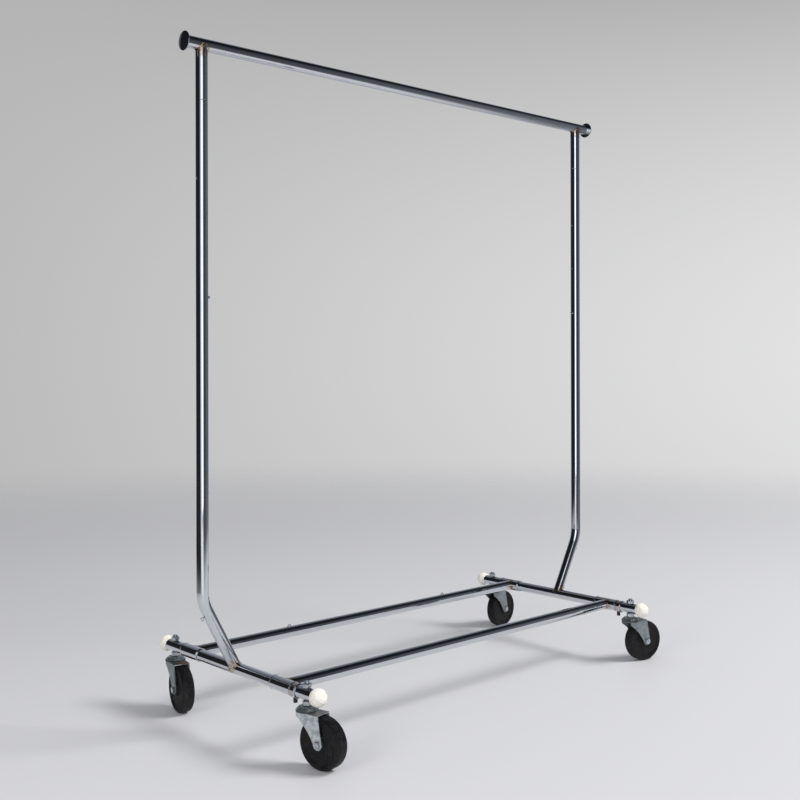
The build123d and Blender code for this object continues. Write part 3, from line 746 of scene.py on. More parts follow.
# %% Fitting and copying
def fit(piece, *nodes, finish=None, stands_for=True):
    """Dresses a piece like its nodes, and puts it in their place or beside them."""
    piece.data.materials.clear()
    piece.data.materials.append(finish or finish_for(nodes[0]))
    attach(piece, BODY_OF[nodes[0]])
    if stands_for:
        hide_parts(*nodes)
    report(piece)
    return piece


def copy_to(master, name, matrix):
    """A copy with its own mesh, moved there."""
    twin = master.copy()
    twin.data = master.data.copy()
    twin.name = twin.data.name = name
    bpy.context.scene.collection.objects.link(twin)
    twin.data.transform(matrix)
    return twin


def corner_spot(name, y, z=0):
    """A place on the cross tube at this corner, y metres from its middle."""
    side, end, _ = CORNERS[name]
    return Matrix.Translation((side * CROSS_X, end * y, z))


def caster_spot(name):
    """Where a caster stands and which way it trails."""
    trail = Matrix.Rotation(radians(CORNERS[name][2]), 4, "Z")
    return corner_spot(name, STEM_Y) @ trail


def fit_four(master, word, node, spot_at, finish_at=lambda name: None):
    """Fits a copy of a master at every corner and clears the master away."""
    for name in CORNERS:
        twin = copy_to(master, f"{name}_{word}", spot_at(name))
        fit(twin, f"{name}_{node}", finish=finish_at(name))
    bpy.data.objects.remove(master)


print("tools ready")

# %% [markdown]
# ## The hanging rail
# One straight length of inch tube with a cap at each end. It could be a cylinder, but
# its open ends and wall show in other views, so a ring of wall is drawn out.

# %% Hanging rail and stubs
low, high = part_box("hang_rail")
rail = straight_tube("hanging_rail", (low[0], 0, HANG_Z), (high[0], 0, HANG_Z))
fit(rail, "hang_rail")

for side, prefix in LEFT_AND_RIGHT:
    x = side * UPRIGHT_X
    stub = straight_tube(
        f"{prefix}_stub_tube", (x, 0, SEAM_Z), (x, 0, HANG_Z),
        wall=TUBE_R - INNER_R - FIT, edge=0.6 * MM,
    )
    cut(stub, rod((x, 0, HANG_Z), X, TUBE_R + FIT, CUT_THROUGH))
    ease(stub, 0)
    fit(stub, f"{prefix}_rail_stub")

# %% [markdown]
# An end cap is a turned disc, wider than the tube, with a low dome, a rounded rim and
# a plug that is driven into the bore. The lathe gives all of it from one profile.

# %% End caps
CAP_R, CAP_RIM, CAP_RISE, CAP_LIP = 20 * MM, 2 * MM, 4 * MM, 0.8 * MM
PLUG_LONG, PLUG_BORE_R, PLUG_LEAD = 14 * MM, 8.5 * MM, 0.8 * MM
dome_r = (CAP_R**2 + CAP_RISE**2) / (2 * CAP_RISE)
dome_z = CAP_RIM + CAP_RISE - dome_r
plug_r = BORE_R - FIT
dome = []
for i in range(11):
    r = (CAP_R - CAP_LIP) * i / 10
    dome.append((r, dome_z + (dome_r**2 - r**2) ** 0.5))
rim_r = 0.9 * MM
profile = [(0, 0)] + dome
profile += arc((CAP_R - rim_r, CAP_RIM - BREAK), rim_r, 70, -90)[1:]
profile += [
    (CAP_R - rim_r, BREAK), (plug_r + 2 * BREAK, BREAK), (plug_r, 0),
    (plug_r, MM - PLUG_LONG), (plug_r - PLUG_LEAD, -PLUG_LONG),
    (PLUG_BORE_R, -PLUG_LONG), (PLUG_BORE_R, 0),
]
for prefix, x, along in (("left", low[0] - FIT, -X), ("right", high[0] + FIT, X)):
    cap = turn_on_lathe(f"{prefix}_cap", profile, (x, 0, HANG_Z), along)
    ease(cap, 0, angle=30)
    fit(cap, f"{prefix}_end_cap")

# %% [markdown]
# ## The telescoping tubes
# Inside each upright slides a slimmer tube, with one hole for its snap button. The
# button is a small domed pin, turned on the lathe.

# %% Inner tubes and buttons
SETTING_Z, PITCH, BUTTON_R = 912 * MM, 121 * MM, 3.5 * MM
BUTTON_HOLE_R = BUTTON_R + SLIDE
for side, prefix in LEFT_AND_RIGHT:
    x = side * UPRIGHT_X
    low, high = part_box(f"{prefix}_inner_tube")
    inner = straight_tube(
        f"{prefix}_slide_tube", (x, 0, low[2]), (x, 0, high[2]), INNER_R, WALL
    )
    hole = rod((x - side * INNER_R, 0, SETTING_Z), X, BUTTON_HOLE_R, 10 * MM, 48)
    cut(inner, hole)
    ease(inner, 0)
    fit(inner, f"{prefix}_inner_tube")

    low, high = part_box(f"{prefix}_snap_button")
    tip, root = (low[0], high[0]) if side > 0 else (high[0], low[0])
    length, round_r = abs(tip - root), 1.2 * MM
    profile = [(0, 0), (BUTTON_R, 0)]
    profile += arc((BUTTON_R - round_r, length - round_r), round_r, 0, 80)
    profile += [(0, length)]
    button = turn_on_lathe(
        f"{prefix}_button", profile, (root, 0, SETTING_Z), -side * X, sides=48
    )
    ease(button, 0, angle=30)
    fit(button, f"{prefix}_snap_button")

# %% [markdown]
# ## The bent uprights
# Each upright is one tube: straight down, round a bend, and on into a leaning leg that
# is coped to sit on the cross tube. The ring of wall is drawn down, spun round the
# bend's centre, and drawn on, and the adjusting holes are then drilled in the inner
# face. The highest goes right through.

# %% Uprights
EYE_Z, EYE_HOLE_R, SETTINGS = 261 * MM, 1.6 * MM, 3
for side, prefix in LEFT_AND_RIGHT:
    x = side * UPRIGHT_X
    top = SEAM_Z - SLIDE
    bend_z = KNEE_Z + BEND_R * tan(LEAN / 2)
    tube = start_tube(f"{prefix}_post", (x, 0, top), -Z)
    draw_out((0, 0, bend_z - top))
    bpy.ops.mesh.spin(
        steps=20, angle=LEAN, center=(x - side * BEND_R, 0, bend_z), axis=(0, -side, 0)
    )
    leg = hypot(UPRIGHT_X - CROSS_X, KNEE_Z - CROSS_Z) - BEND_R * tan(LEAN / 2)
    draw_out((-side * leg * sin(LEAN), 0, -leg * cos(LEAN)))
    close_mesh()
    ease(tube, 0.5 * MM, angle=60)
    cut(tube, rod((side * CROSS_X, 0, CROSS_Z), Y, TUBE_R + FIT, CUT_THROUGH))
    for setting in range(SETTINGS):
        z = SETTING_Z + setting * PITCH
        cut(tube, rod((x - side * TUBE_R, 0, z), X, BUTTON_HOLE_R, 12 * MM, 48))
    cut(tube, rod((x + side * TUBE_R, 0, z), X, BUTTON_HOLE_R, 12 * MM, 48))
    out = Vector((side * cos(LEAN), 0, -sin(LEAN)))
    eye = Vector((side * (CROSS_X + (EYE_Z - CROSS_Z) * tan(LEAN)), 0, EYE_Z))
    cut(tube, rod(eye + out * TUBE_R, out, EYE_HOLE_R, 8 * MM, 32))
    ease(tube, 0)
    fit(tube, f"{prefix}_upright")

# %% [markdown]
# Each leg carries a small wire eye on a shank, brazed into a hole in the tube. The ring
# is a torus and the shank a turned pin; they are joined so that the eye is one piece.

# %% Leg eyes
def ring_of_wire(name, centre, along, ring_r, wire_r, turns=64):
    """A closed ring of round wire, with its axis along this direction."""
    bpy.ops.object.select_all(action="DESELECT")
    bpy.ops.mesh.primitive_torus_add(
        major_radius=ring_r, minor_radius=wire_r, major_segments=turns,
        minor_segments=20, location=centre, rotation=aim(along),
    )
    return name_new(name)


EYE_R, EYE_WIRE_R, EYE_SHANK_R, EYE_REACH = 3.3 * MM, 0.9 * MM, 1.5 * MM, MM
EYE_WELD_R = 2.6 * MM
for side, prefix in LEFT_AND_RIGHT:
    out = Vector((side * cos(LEAN), 0, -sin(LEAN)))
    root = Vector((side * (CROSS_X + (EYE_Z - CROSS_Z) * tan(LEAN)), 0, EYE_Z))
    ring_at = root + out * (TUBE_R + EYE_REACH + EYE_R + EYE_WIRE_R)
    ring = ring_of_wire(f"{prefix}_leg_eye", ring_at, Z.cross(out), EYE_R, EYE_WIRE_R)
    foot, reach = BORE_R - WALL, TUBE_R + EYE_REACH + EYE_WIRE_R
    shank = [(0, foot), (EYE_SHANK_R, foot), (EYE_SHANK_R, TUBE_R - FIT)]
    shank += [(EYE_WELD_R, TUBE_R), (EYE_WELD_R - BREAK, TUBE_R + 0.5 * MM)]
    shank += [(EYE_SHANK_R, TUBE_R + 0.9 * MM), (EYE_SHANK_R, reach), (0, reach)]
    pin = turn_on_lathe("pin", shank, root, out, sides=32)
    cut(ring, pin, "UNION")
    ease(ring, 0)
    fit(ring, "leg_eyes", stands_for=side < 0)

# %% [markdown]
# ## The base
# A cross tube lies under each leg, with bores for two caster stems and, at the front, a
# hole for the lock pin. The base rails are coped to the sleeves that turn on the cross
# tubes. Each rail is in two lengths, joined over a hidden spigot.

# %% Cross tubes and base rails
LOCK_Y = 205 * MM
STEM_R, PIN_R = 5 * MM, 2.2 * MM
for side, prefix in LEFT_AND_RIGHT:
    x = side * CROSS_X
    low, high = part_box(f"{prefix}_cross_tube")
    start, stop = (x, low[1], CROSS_Z), (x, high[1], CROSS_Z)
    tube = straight_tube(f"{prefix}_cross_bar", start, stop)
    for y in (-STEM_Y, STEM_Y):
        cut(tube, rod((x, y, CROSS_Z), Z, STEM_R + SLIDE, CUT_THROUGH, 48))
    cut(tube, rod((x, -LOCK_Y, CROSS_Z - TUBE_R), Z, PIN_R + SLIDE, 10 * MM, 32))
    ease(tube, 0)
    fit(tube, f"{prefix}_cross_tube")

for end, prefix in ((-1, "front"), (1, "rear")):
    y = end * RAIL_Y
    for node, cope_side in ((f"{prefix}_base_rail", -1), (f"{prefix}_rail_end", 1)):
        low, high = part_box(node)
        start = -CROSS_X if cope_side < 0 else low[0]
        stop = CROSS_X if cope_side > 0 else high[0]
        tube = straight_tube(
            f"{node}_tube", (start, y, CROSS_Z), (stop, y, CROSS_Z), edge=0.6 * MM
        )
        sleeve_at = (cope_side * CROSS_X, y, CROSS_Z)
        cut(tube, rod(sleeve_at, Y, SLEEVE_R + FIT, CUT_THROUGH))
        ease(tube, 0)
        fit(tube, node)

# %% [markdown]
# A sleeve is a short thicker tube with a bead rolled round each end. One profile on the
# lathe gives its wall and both beads, and the four are copies.

# %% Sleeves
SLEEVE_HALF, SLEEVE_BORE_R, BEAD = 32.5 * MM, 13.0 * MM, 0.5 * MM


def bead_at(height, radius, rise, half):
    """Points of a half-round bead on the outside of a tube, going up."""
    return [
        (radius + rise * sin(radians(turn)), height - half * cos(radians(turn)))
        for turn in range(0, 181, 20)
    ]


profile = [(SLEEVE_BORE_R, BREAK - SLEEVE_HALF), (SLEEVE_BORE_R + BREAK, -SLEEVE_HALF)]
profile += bead_at(-SLEEVE_HALF + MM, SLEEVE_R, BEAD, MM)
profile += bead_at(SLEEVE_HALF - MM, SLEEVE_R, BEAD, MM)
profile += [(SLEEVE_BORE_R + BREAK, SLEEVE_HALF), (SLEEVE_BORE_R, SLEEVE_HALF - BREAK)]
sleeve = turn_on_lathe("sleeve", profile, (0, 0, 0), Y)
ease(sleeve, 0, angle=40)
fit_four(
    sleeve, "turning_sleeve", "sleeve", lambda name: corner_spot(name, RAIL_Y, CROSS_Z)
)

# %% [markdown]
# ## Brazed joints
# Where a tube is brazed on, metal has run into the corner between the two. The bead is
# what lies close to both tubes but outside them: two fat rods are crossed, and the two
# tubes are then cut out of what they share. A little displacement makes it lumpy.

# %% Braze beads
lumps = bpy.data.textures.new("braze_lumps", "CLOUDS")
lumps.noise_scale = 4 * MM
SKIN = 0.05 * MM


def braze(name, node, joint, main_way, main_r, branch_way, bead=1.7 * MM):
    """A bead round the foot of a branch tube that stands on a main tube."""
    joint, branch_way = Vector(joint), Vector(branch_way).normalized()
    reach = 40 * MM
    piece = rod(joint, main_way, main_r + bead, 2 * reach)
    piece.name = piece.data.name = name
    middle = joint + branch_way * reach / 2
    cut(piece, rod(middle, branch_way, TUBE_R + 0.9 * bead, reach, 80), "INTERSECT")
    cut(piece, rod(joint, main_way, main_r - SKIN, 3 * reach))
    cut(piece, rod(middle, branch_way, TUBE_R - 0.8 * SKIN, 2 * reach, 88))
    apply(piece, "BEVEL", width=0.8 * MM, segments=3, limit_method="ANGLE",
          angle_limit=radians(50))
    apply(piece, "DISPLACE", texture=lumps, strength=0.5 * MM, mid_level=0.6,
          texture_coords="GLOBAL")
    ease(piece, 0, angle=60)
    fit(piece, node, finish=braze_finish, stands_for=False)


for side, prefix in LEFT_AND_RIGHT:
    joint = (side * UPRIGHT_X, 0, HANG_Z)
    braze(f"{prefix}_stub_braze", "hang_rail", joint, X, TUBE_R, -Z)
    joint, leg_way = (side * CROSS_X, 0, CROSS_Z), (side * sin(LEAN), 0, cos(LEAN))
    braze(f"{prefix}_leg_braze", f"{prefix}_upright", joint, Y, TUBE_R, leg_way)
for name, (side, end, _) in CORNERS.items():
    joint, sleeve = (side * CROSS_X, end * RAIL_Y, CROSS_Z), f"{name}_sleeve"
    braze(f"{sleeve}_braze", sleeve, joint, Y, SLEEVE_R, (-side, 0, 0), bead=1.5 * MM)

# %% [markdown]
# ## Bumpers
# A moulded ball is pushed over each end of the cross tubes. Its skin is pebbled, which
# shows in its outline, so a fine ball is displaced by cellular noise and then bored.

# %% Bumpers
BALL_R, BALL_Y, TUBE_END_Y = 18 * MM, 276 * MM, 270 * MM
pebbles = bpy.data.textures.new("pebbles", "VORONOI")
pebbles.noise_scale = 4.6 * MM
bpy.ops.object.select_all(action="DESELECT")
bpy.ops.mesh.primitive_ico_sphere_add(subdivisions=6, radius=BALL_R - 0.5 * MM)
ball = name_new("ball")
apply(ball, "DISPLACE", texture=pebbles, strength=1.3 * MM, mid_level=0.4,
      texture_coords="LOCAL")
bore_floor = TUBE_END_Y - BALL_Y + FIT
bore = rod((0, bore_floor - CUT_THROUGH / 2, 0), Y, TUBE_R + FIT, CUT_THROUGH)
cut(ball, bore)
ease(ball, 0, angle=50)


def bumper_spot(name):
    """At the tube's end, with the bore towards the tube."""
    facing = 0 if CORNERS[name][1] > 0 else pi
    return corner_spot(name, BALL_Y, CROSS_Z) @ Matrix.Rotation(facing, 4, "Z")


fit_four(ball, "ball_bumper", "bumper", bumper_spot)

# %% [markdown]
# Two wire loops stand on the rear rail. Each is a torus with its lower half cut away by
# the tube, and a small blob of braze is joined to each foot.

# %% Rail loops
LOOP_R, LOOP_WIRE_R, LOOP_CREST, FOOT_R = 4.47 * MM, 1.1 * MM, 16.6 * MM, 1.7 * MM
LOOPS = ((-263 * MM, "left"), (249 * MM, "right"))
for x, word in LOOPS:
    heart = Vector((x, RAIL_Y, CROSS_Z + LOOP_CREST - LOOP_R))
    loop = ring_of_wire(f"{word}_rail_loop", heart, Y, LOOP_R, LOOP_WIRE_R, 48)
    for way in (-1, 1):
        foot = (x + way * LOOP_R, RAIL_Y, CROSS_Z + TUBE_R)
        bpy.ops.object.select_all(action="DESELECT")
        bpy.ops.mesh.primitive_uv_sphere_add(radius=FOOT_R, location=foot)
        cut(loop, name_new("blob"), "UNION")
    cut(loop, rod((x, RAIL_Y, CROSS_Z), X, TUBE_R + 0.02 * MM, 30 * MM))
    ease(loop, 0, angle=50)
    fit(loop, "rail_loops", stands_for=word == "left")

# %% [markdown]
# ## Sleeve locks
# In front of each front sleeve sits a collar with a barrel below it. The collar has a
# bead round each end. Collar and barrel are turned on the lathe, each about its own
# axis, and joined, and the bores are then run through both.

# %% Lock collar
COLLAR_BODY_R, COLLAR_BORE_R, COLLAR_BACK, COLLAR_FRONT = (
    14.0 * MM, 12.8 * MM, 4.4 * MM, -10.6 * MM
)
COLLAR_BEAD, COLLAR_BEAD_IN = 0.4 * MM, 1.1 * MM
profile = [(COLLAR_BORE_R, COLLAR_FRONT + BREAK), (COLLAR_BORE_R + BREAK, COLLAR_FRONT)]
for height in (COLLAR_FRONT + COLLAR_BEAD_IN, COLLAR_BACK - COLLAR_BEAD_IN):
    profile += bead_at(height, COLLAR_BODY_R, COLLAR_BEAD, MM)
profile += [(COLLAR_BORE_R + BREAK, COLLAR_BACK), (COLLAR_BORE_R, COLLAR_BACK - BREAK)]
collar = turn_on_lathe("collar", profile, ORIGIN, Y)

BARREL_R, BARREL_BORE_R, MOUTH_R = 3.1 * MM, 2.5 * MM, 1.5 * MM
BARREL_TOP, BARREL_MOUTH, BARREL_FLOOR = -12 * MM, -22.8 * MM, -21.6 * MM
LEAD = 0.4 * MM
barrel = turn_on_lathe("barrel", [
    (MOUTH_R, BARREL_MOUTH), (BARREL_R - LEAD, BARREL_MOUTH),
    (BARREL_R, BARREL_MOUTH + LEAD), (BARREL_R, BARREL_TOP),
    (BARREL_BORE_R, BARREL_TOP), (BARREL_BORE_R, BARREL_FLOOR), (MOUTH_R, BARREL_FLOOR),
], sides=48)
cut(collar, barrel, "UNION")
cut(collar, rod((0, -3 * MM, 0), Y, COLLAR_BORE_R, 40 * MM, 120))
cut(collar, rod((0, 0, -13 * MM), Z, BARREL_BORE_R - 0.01 * MM, 6 * MM, 40))
ease(collar, 0)
report(collar)

# %% [markdown]
# A spring in the barrel pushes the pin up into the cross tube. The pin is turned with a
# thick nose and a thin stem, which leaves room for the spring round the stem.

# %% Lock pin
PIN_TIP, PIN_SHOULDER, PIN_FOOT = -9.6 * MM, -14.6 * MM, -24.3 * MM
PIN_STEM_R, NOSE = 1.2 * MM, 0.55 * MM
pin = turn_on_lathe("lock_pin", [
    (0, PIN_FOOT), (PIN_STEM_R, PIN_FOOT), (PIN_STEM_R, PIN_SHOULDER),
    (PIN_R - BREAK, PIN_SHOULDER), (PIN_R, PIN_SHOULDER + BREAK),
    (PIN_R, PIN_TIP - NOSE), (PIN_R - NOSE, PIN_TIP), (0, PIN_TIP),
], sides=40)
ease(pin, 0)
report(pin)

# %% [markdown]
# The knob on the pin's foot pulls it down. It is a moulded cup that slides over the
# barrel. Its body is turned, and the grip grooves are cut by a thin rod run in at equal
# steps round it.

# %% Lock knob
KNOB_R, KNOB_LOW, KNOB_HIGH, GRIPS = 4.4 * MM, -25.1 * MM, -14.7 * MM, 14
KNOB_ROUND, KNOB_LIP, KNOB_BORE_R, KNOB_FLOOR = 1.1 * MM, 0.4 * MM, 3.4 * MM, -23.5 * MM
SOCKET_R, GRIP_R, GRIP_Z = 1.3 * MM, 0.5 * MM, -18 * MM
profile = [(0, KNOB_LOW)]
profile += arc((KNOB_R - KNOB_ROUND, KNOB_LOW + KNOB_ROUND), KNOB_ROUND, -90, 0)
profile += arc((KNOB_R - KNOB_LIP, KNOB_HIGH - KNOB_LIP), KNOB_LIP, 0, 90, 4)
profile += [
    (KNOB_BORE_R, KNOB_HIGH), (KNOB_BORE_R, KNOB_FLOOR), (SOCKET_R, KNOB_FLOOR),
    (SOCKET_R, PIN_FOOT), (0, PIN_FOOT),
]
knob = turn_on_lathe("knob", profile, sides=84)
for grip in range(GRIPS):
    turn, out = 2 * pi * grip / GRIPS, KNOB_R + 0.15 * MM
    cut(knob, rod((out * cos(turn), out * sin(turn), GRIP_Z), Z, GRIP_R, 9 * MM, 12))
ease(knob, 0, angle=30)
report(knob)

# %% [markdown]
# A ring of wire stops the collar in front. It is open by a narrow slot, where it was
# sprung over the tube. All four pieces are then copied to both sides.

# %% Lock rings, and both locks fitted
RING_R, RING_WIRE_R, RING_FRONT, SLOT_R = 13.9 * MM, 1.1 * MM, -11.8 * MM, 0.6 * MM
ring = ring_of_wire("ring", (0, RING_FRONT, 0), Y, RING_R, RING_WIRE_R, 96)
slot_at = (RING_R * 0.7, RING_FRONT, -RING_R * 0.7)
cut(ring, rod(slot_at, (1, 0, 1), SLOT_R, 6 * MM, 24))
ease(ring, 0)
for side, prefix in LEFT_AND_RIGHT:
    spot = Matrix.Translation((side * CROSS_X, -LOCK_Y, CROSS_Z))
    for master, node in (
        (collar, "lock_collar"), (pin, "lock_pin"),
        (knob, "lock_knob"), (ring, "lock_ring"),
    ):
        twin = copy_to(master, f"{prefix}_{node}_piece", spot)
        if node == "lock_ring":
            fit(twin, "lock_rings", stands_for=side < 0)
        else:
            fit(twin, f"{prefix}_{node}")
for master in (collar, pin, knob, ring):
    bpy.data.objects.remove(master)

# %% [markdown]
# ## Casters
# Every caster is the same bought part, so each of its pieces is made once about the
# stem's axis, with the wheel trailing along X, and then copied four times. A hexagon
# for a nut or a head is cut from a six-sided bar and its corners are turned off.

# %% Stems and nuts
def hexagon_block(name, centre, along, across, height, hole=0.0):
    """A nut or a bolt head, with its corners turned off at both ends."""
    corner = across / 2 / cos(pi / 6)
    block = rod(ORIGIN, Z, corner, 1.2 * height, 6)
    block.name = block.data.name = name
    block.data.transform(Matrix.Rotation(pi / 6, 4, "Z"))
    face_r, out_r, half = 0.475 * across, 1.02 * corner, height / 2
    rise = (out_r - face_r) * tan(pi / 6)
    turned = [(0, -half), (face_r, -half), (out_r, rise - half)]
    turned += [(out_r, half - rise), (face_r, half), (0, half)]
    cut(block, turn_on_lathe("turned", turned), "INTERSECT")
    if hole:
        cut(block, rod(ORIGIN, Z, hole, 2 * height, 64))
    ease(block, 0.12 * MM, 1, angle=25)
    return set_down(block, centre, along)


HEX_ACROSS, COLLAR_LOW, COLLAR_HIGH = 17 * MM, 115.6 * MM, 124.2 * MM
NUT_LOW, NUT_HIGH, STEM_TOP = 149.8 * MM, 157.8 * MM, 161.8 * MM
THREAD_PITCH, THREAD_DEEP, THREADS = 1.5 * MM, 0.5 * MM, 7
KING_R, KING_LOW, KING_HIGH = 8.5 * MM, 101.7 * MM, 103.9 * MM
profile = [(0, KING_LOW), (KING_R - 0.5 * MM, KING_LOW), (KING_R, KING_LOW + 0.5 * MM)]
profile += [(KING_R, KING_HIGH - BREAK), (KING_R - BREAK, KING_HIGH)]
profile += [(STEM_R, KING_HIGH), (STEM_R, NUT_LOW)]
for turn in range(THREADS):
    z = NUT_LOW + (turn + 0.2) * THREAD_PITCH
    root = (STEM_R - THREAD_DEEP, z + THREAD_PITCH / 2)
    profile += [(STEM_R, z), (STEM_R, z + 0.2 * MM), root]
profile += [(STEM_R - 0.1 * MM, STEM_TOP - MM), (STEM_R - MM, STEM_TOP), (0, STEM_TOP)]
stem = turn_on_lathe("stem", profile, sides=64)
middle = (0, 0, (COLLAR_LOW + COLLAR_HIGH) / 2)
block = hexagon_block("collar", middle, Z, HEX_ACROSS, COLLAR_HIGH - COLLAR_LOW)
cut(stem, block, "UNION")
ease(stem, 0, angle=30)
middle = (0, 0, (NUT_LOW + NUT_HIGH) / 2)
nut = hexagon_block("nut", middle, Z, HEX_ACROSS, NUT_HIGH - NUT_LOW, STEM_R + FIT)
for name in CORNERS:
    spot = corner_spot(name, STEM_Y)
    fit(copy_to(stem, f"{name}_threaded_stem", spot), f"{name}_stem")
    fit(copy_to(nut, f"{name}_nut", spot), "stem_nuts", stands_for=name == "front_left")
for master in (stem, nut):
    bpy.data.objects.remove(master)

# %% [markdown]
# The swivel cup is pressed from thick sheet: a rolled rim, a step and a dome that the
# stem's collar sits on. Its section is drawn once and spun.

# %% Swivel cups
CUP_R, CUP_LOW, CUP_TOP_R, CUP_SHEET = 22.5 * MM, 107.2 * MM, 12 * MM, 2 * MM
CUP_TOP, CUP_ROLL, DOME_FOOT_R = COLLAR_LOW - FIT, 0.9 * MM, CUP_R - CUP_SHEET
dome_outside, dome_inside = (17.2 * MM, 113.4 * MM), (16.7 * MM, 111.4 * MM)
profile = arc((CUP_R - CUP_ROLL, CUP_LOW + CUP_ROLL), CUP_ROLL, -90, 80)
profile += [(CUP_R - 1.6 * MM, CUP_LOW + 2.1 * MM), (DOME_FOOT_R, CUP_LOW + 2.6 * MM)]
dome_foot = (DOME_FOOT_R - FIT, CUP_LOW + 2.9 * MM)
profile += circle_through(dome_foot, dome_outside, (CUP_TOP_R, CUP_TOP))
profile += [(STEM_R + FIT, CUP_TOP), (STEM_R + FIT, CUP_TOP - CUP_SHEET)]
dome_foot = (DOME_FOOT_R, 108.6 * MM)
profile += circle_through((CUP_TOP_R, CUP_TOP - CUP_SHEET), dome_inside, dome_foot)
profile += [(DOME_FOOT_R, CUP_LOW + BREAK), (CUP_R - 1.7 * MM, CUP_LOW)]
cup = turn_on_lathe("cup", profile)
ease(cup, 0, angle=40)
fit_four(
    cup, "pressed_cup", "swivel_cup",
    lambda name: corner_spot(name, STEM_Y), lambda name: cup_zinc,
)

# %% [markdown]
# The fork is one bent sheet. A flat blank is laid out, its sides are folded down and
# lean back to the axle, and the folds are rounded before the sheet gets its thickness.

# %% Fork blank
SHEET, FORK_OUT_Y, CROWN_TOP, CROWN_R = 2.5 * MM, 18.5 * MM, 106.7 * MM, 22.5 * MM
FORK_FRONT, SKIRT_Z, FOLD_R = -13 * MM, 96.2 * MM, 3 * MM
TRAIL, WHEEL_R, LEG_END_R, AXLE_R = 41 * MM, 50.8 * MM, 10 * MM, 4 * MM
blank_low = WHEEL_R - 2 * LEG_END_R
over, up = FORK_REAR - TRAIL, CROWN_TOP - WHEEL_R
rear_turn = atan2(up, over) - acos(LEG_END_R / hypot(over, up))
fork = draw_line("fork", [
    (FORK_REAR, -FORK_OUT_Y, CROWN_TOP), (FORK_FRONT, -FORK_OUT_Y, CROWN_TOP),
    (FORK_FRONT, FORK_OUT_Y, CROWN_TOP), (FORK_REAR, FORK_OUT_Y, CROWN_TOP),
])
join_ends(fork)
bpy.ops.mesh.edge_face_add()
for way in (-1, 1):
    open_mesh(fork, lambda spot: spot.y * way > 0 and spot.z > CROWN_TOP - FIT, "EDGE")
    down = {"value": (0, 0, blank_low - CROWN_TOP)}
    bpy.ops.mesh.extrude_edges_move(TRANSFORM_OT_translate=down)
open_mesh(fork, lambda spot: spot.z < blank_low + FIT and spot.x > 0)
lean_back = tan(rear_turn) * (CROWN_TOP - blank_low)
bpy.ops.transform.translate(value=(lean_back, 0, 0))
for way in (-1, 1):
    open_mesh(fork, lambda spot: spot.y * way > 0 and spot.z > CROWN_TOP - FIT, "EDGE")
    bpy.ops.mesh.bevel(offset=FOLD_R, segments=6, affect="EDGES")
close_mesh()
if max(face.normal.z for face in fork.data.polygons) < 0.5:
    open_mesh(fork)
    bpy.ops.mesh.flip_normals()
apply(fork, "SOLIDIFY", thickness=SHEET, offset=-1, use_even_offset=True)
report(fork)

# %% [markdown]
# A press then trims the legs. Their outline is an arc round the axle, a straight rear
# edge and a hollow front edge that runs up to the skirt. A prism of that outline keeps
# what lies inside it. The round crown is joined on, and the holes are bored.

# %% Fork legs, crown and holes
axle = Vector((TRAIL, WHEEL_R))
skirt = Vector((FORK_FRONT, SKIRT_Z))
FRONT_TURN = radians(205)
away = Vector((cos(FRONT_TURN), sin(FRONT_TURN)))
touch = axle + LEG_END_R * away
hollow_r = (skirt - touch).length_squared / (2 * (skirt - touch).dot(away))
hollow = touch + hollow_r * away
edge = arc(axle, LEG_END_R, rear_turn * 180 / pi, FRONT_TURN * 180 / pi - 360, 28)
last_turn = atan2(skirt.y - hollow.y, skirt.x - hollow.x) * 180 / pi
edge += arc(hollow, hollow_r, FRONT_TURN * 180 / pi - 180, last_turn, 16)[1:]
FAR_FRONT, FAR_REAR, FAR_UP = -30 * MM, 60 * MM, 120 * MM
edge += [(FAR_FRONT, SKIRT_Z), (FAR_FRONT, FAR_UP), (FAR_REAR, FAR_UP)]
edge += [(FAR_REAR, edge[0][1])]
prism = draw_line("prism", [(x, -CUT_THROUGH / 2, z) for x, z in edge])
join_ends(prism)
bpy.ops.mesh.edge_face_add()
draw_out((0, CUT_THROUGH, 0))
close_mesh()
cut(fork, prism, "INTERSECT")
ease(fork, 0.3 * MM, angle=40)
crown = turn_on_lathe("crown", [
    (STEM_R, CROWN_TOP - SHEET), (CROWN_R - 0.4 * MM, CROWN_TOP - SHEET),
    (CROWN_R, CROWN_TOP - SHEET + 0.4 * MM), (CROWN_R, CROWN_TOP - 0.7 * MM),
    (CROWN_R - 0.2 * MM, CROWN_TOP - 0.2 * MM), (CROWN_R - 0.7 * MM, CROWN_TOP),
    (STEM_R, CROWN_TOP),
])
cut(fork, crown, "UNION")
cut(fork, rod((0, 0, CROWN_TOP), Z, STEM_R + SLIDE, 12 * MM, 64))
cut(fork, rod((TRAIL, 0, WHEEL_R), Y, AXLE_R + FIT, CUT_THROUGH, 64))
ease(fork, 0, angle=30)
# Painted shade: every fork but the front left one takes the darkened zinc.
fit_four(
    fork, "pressed_fork", "fork", caster_spot,
    lambda name: None if name == "front_left" else shaded_zinc,
)

# %% [markdown]
# A bolt through the legs is the axle: a hexagon head on one side, and a nut with the
# bolt's end standing out on the other.

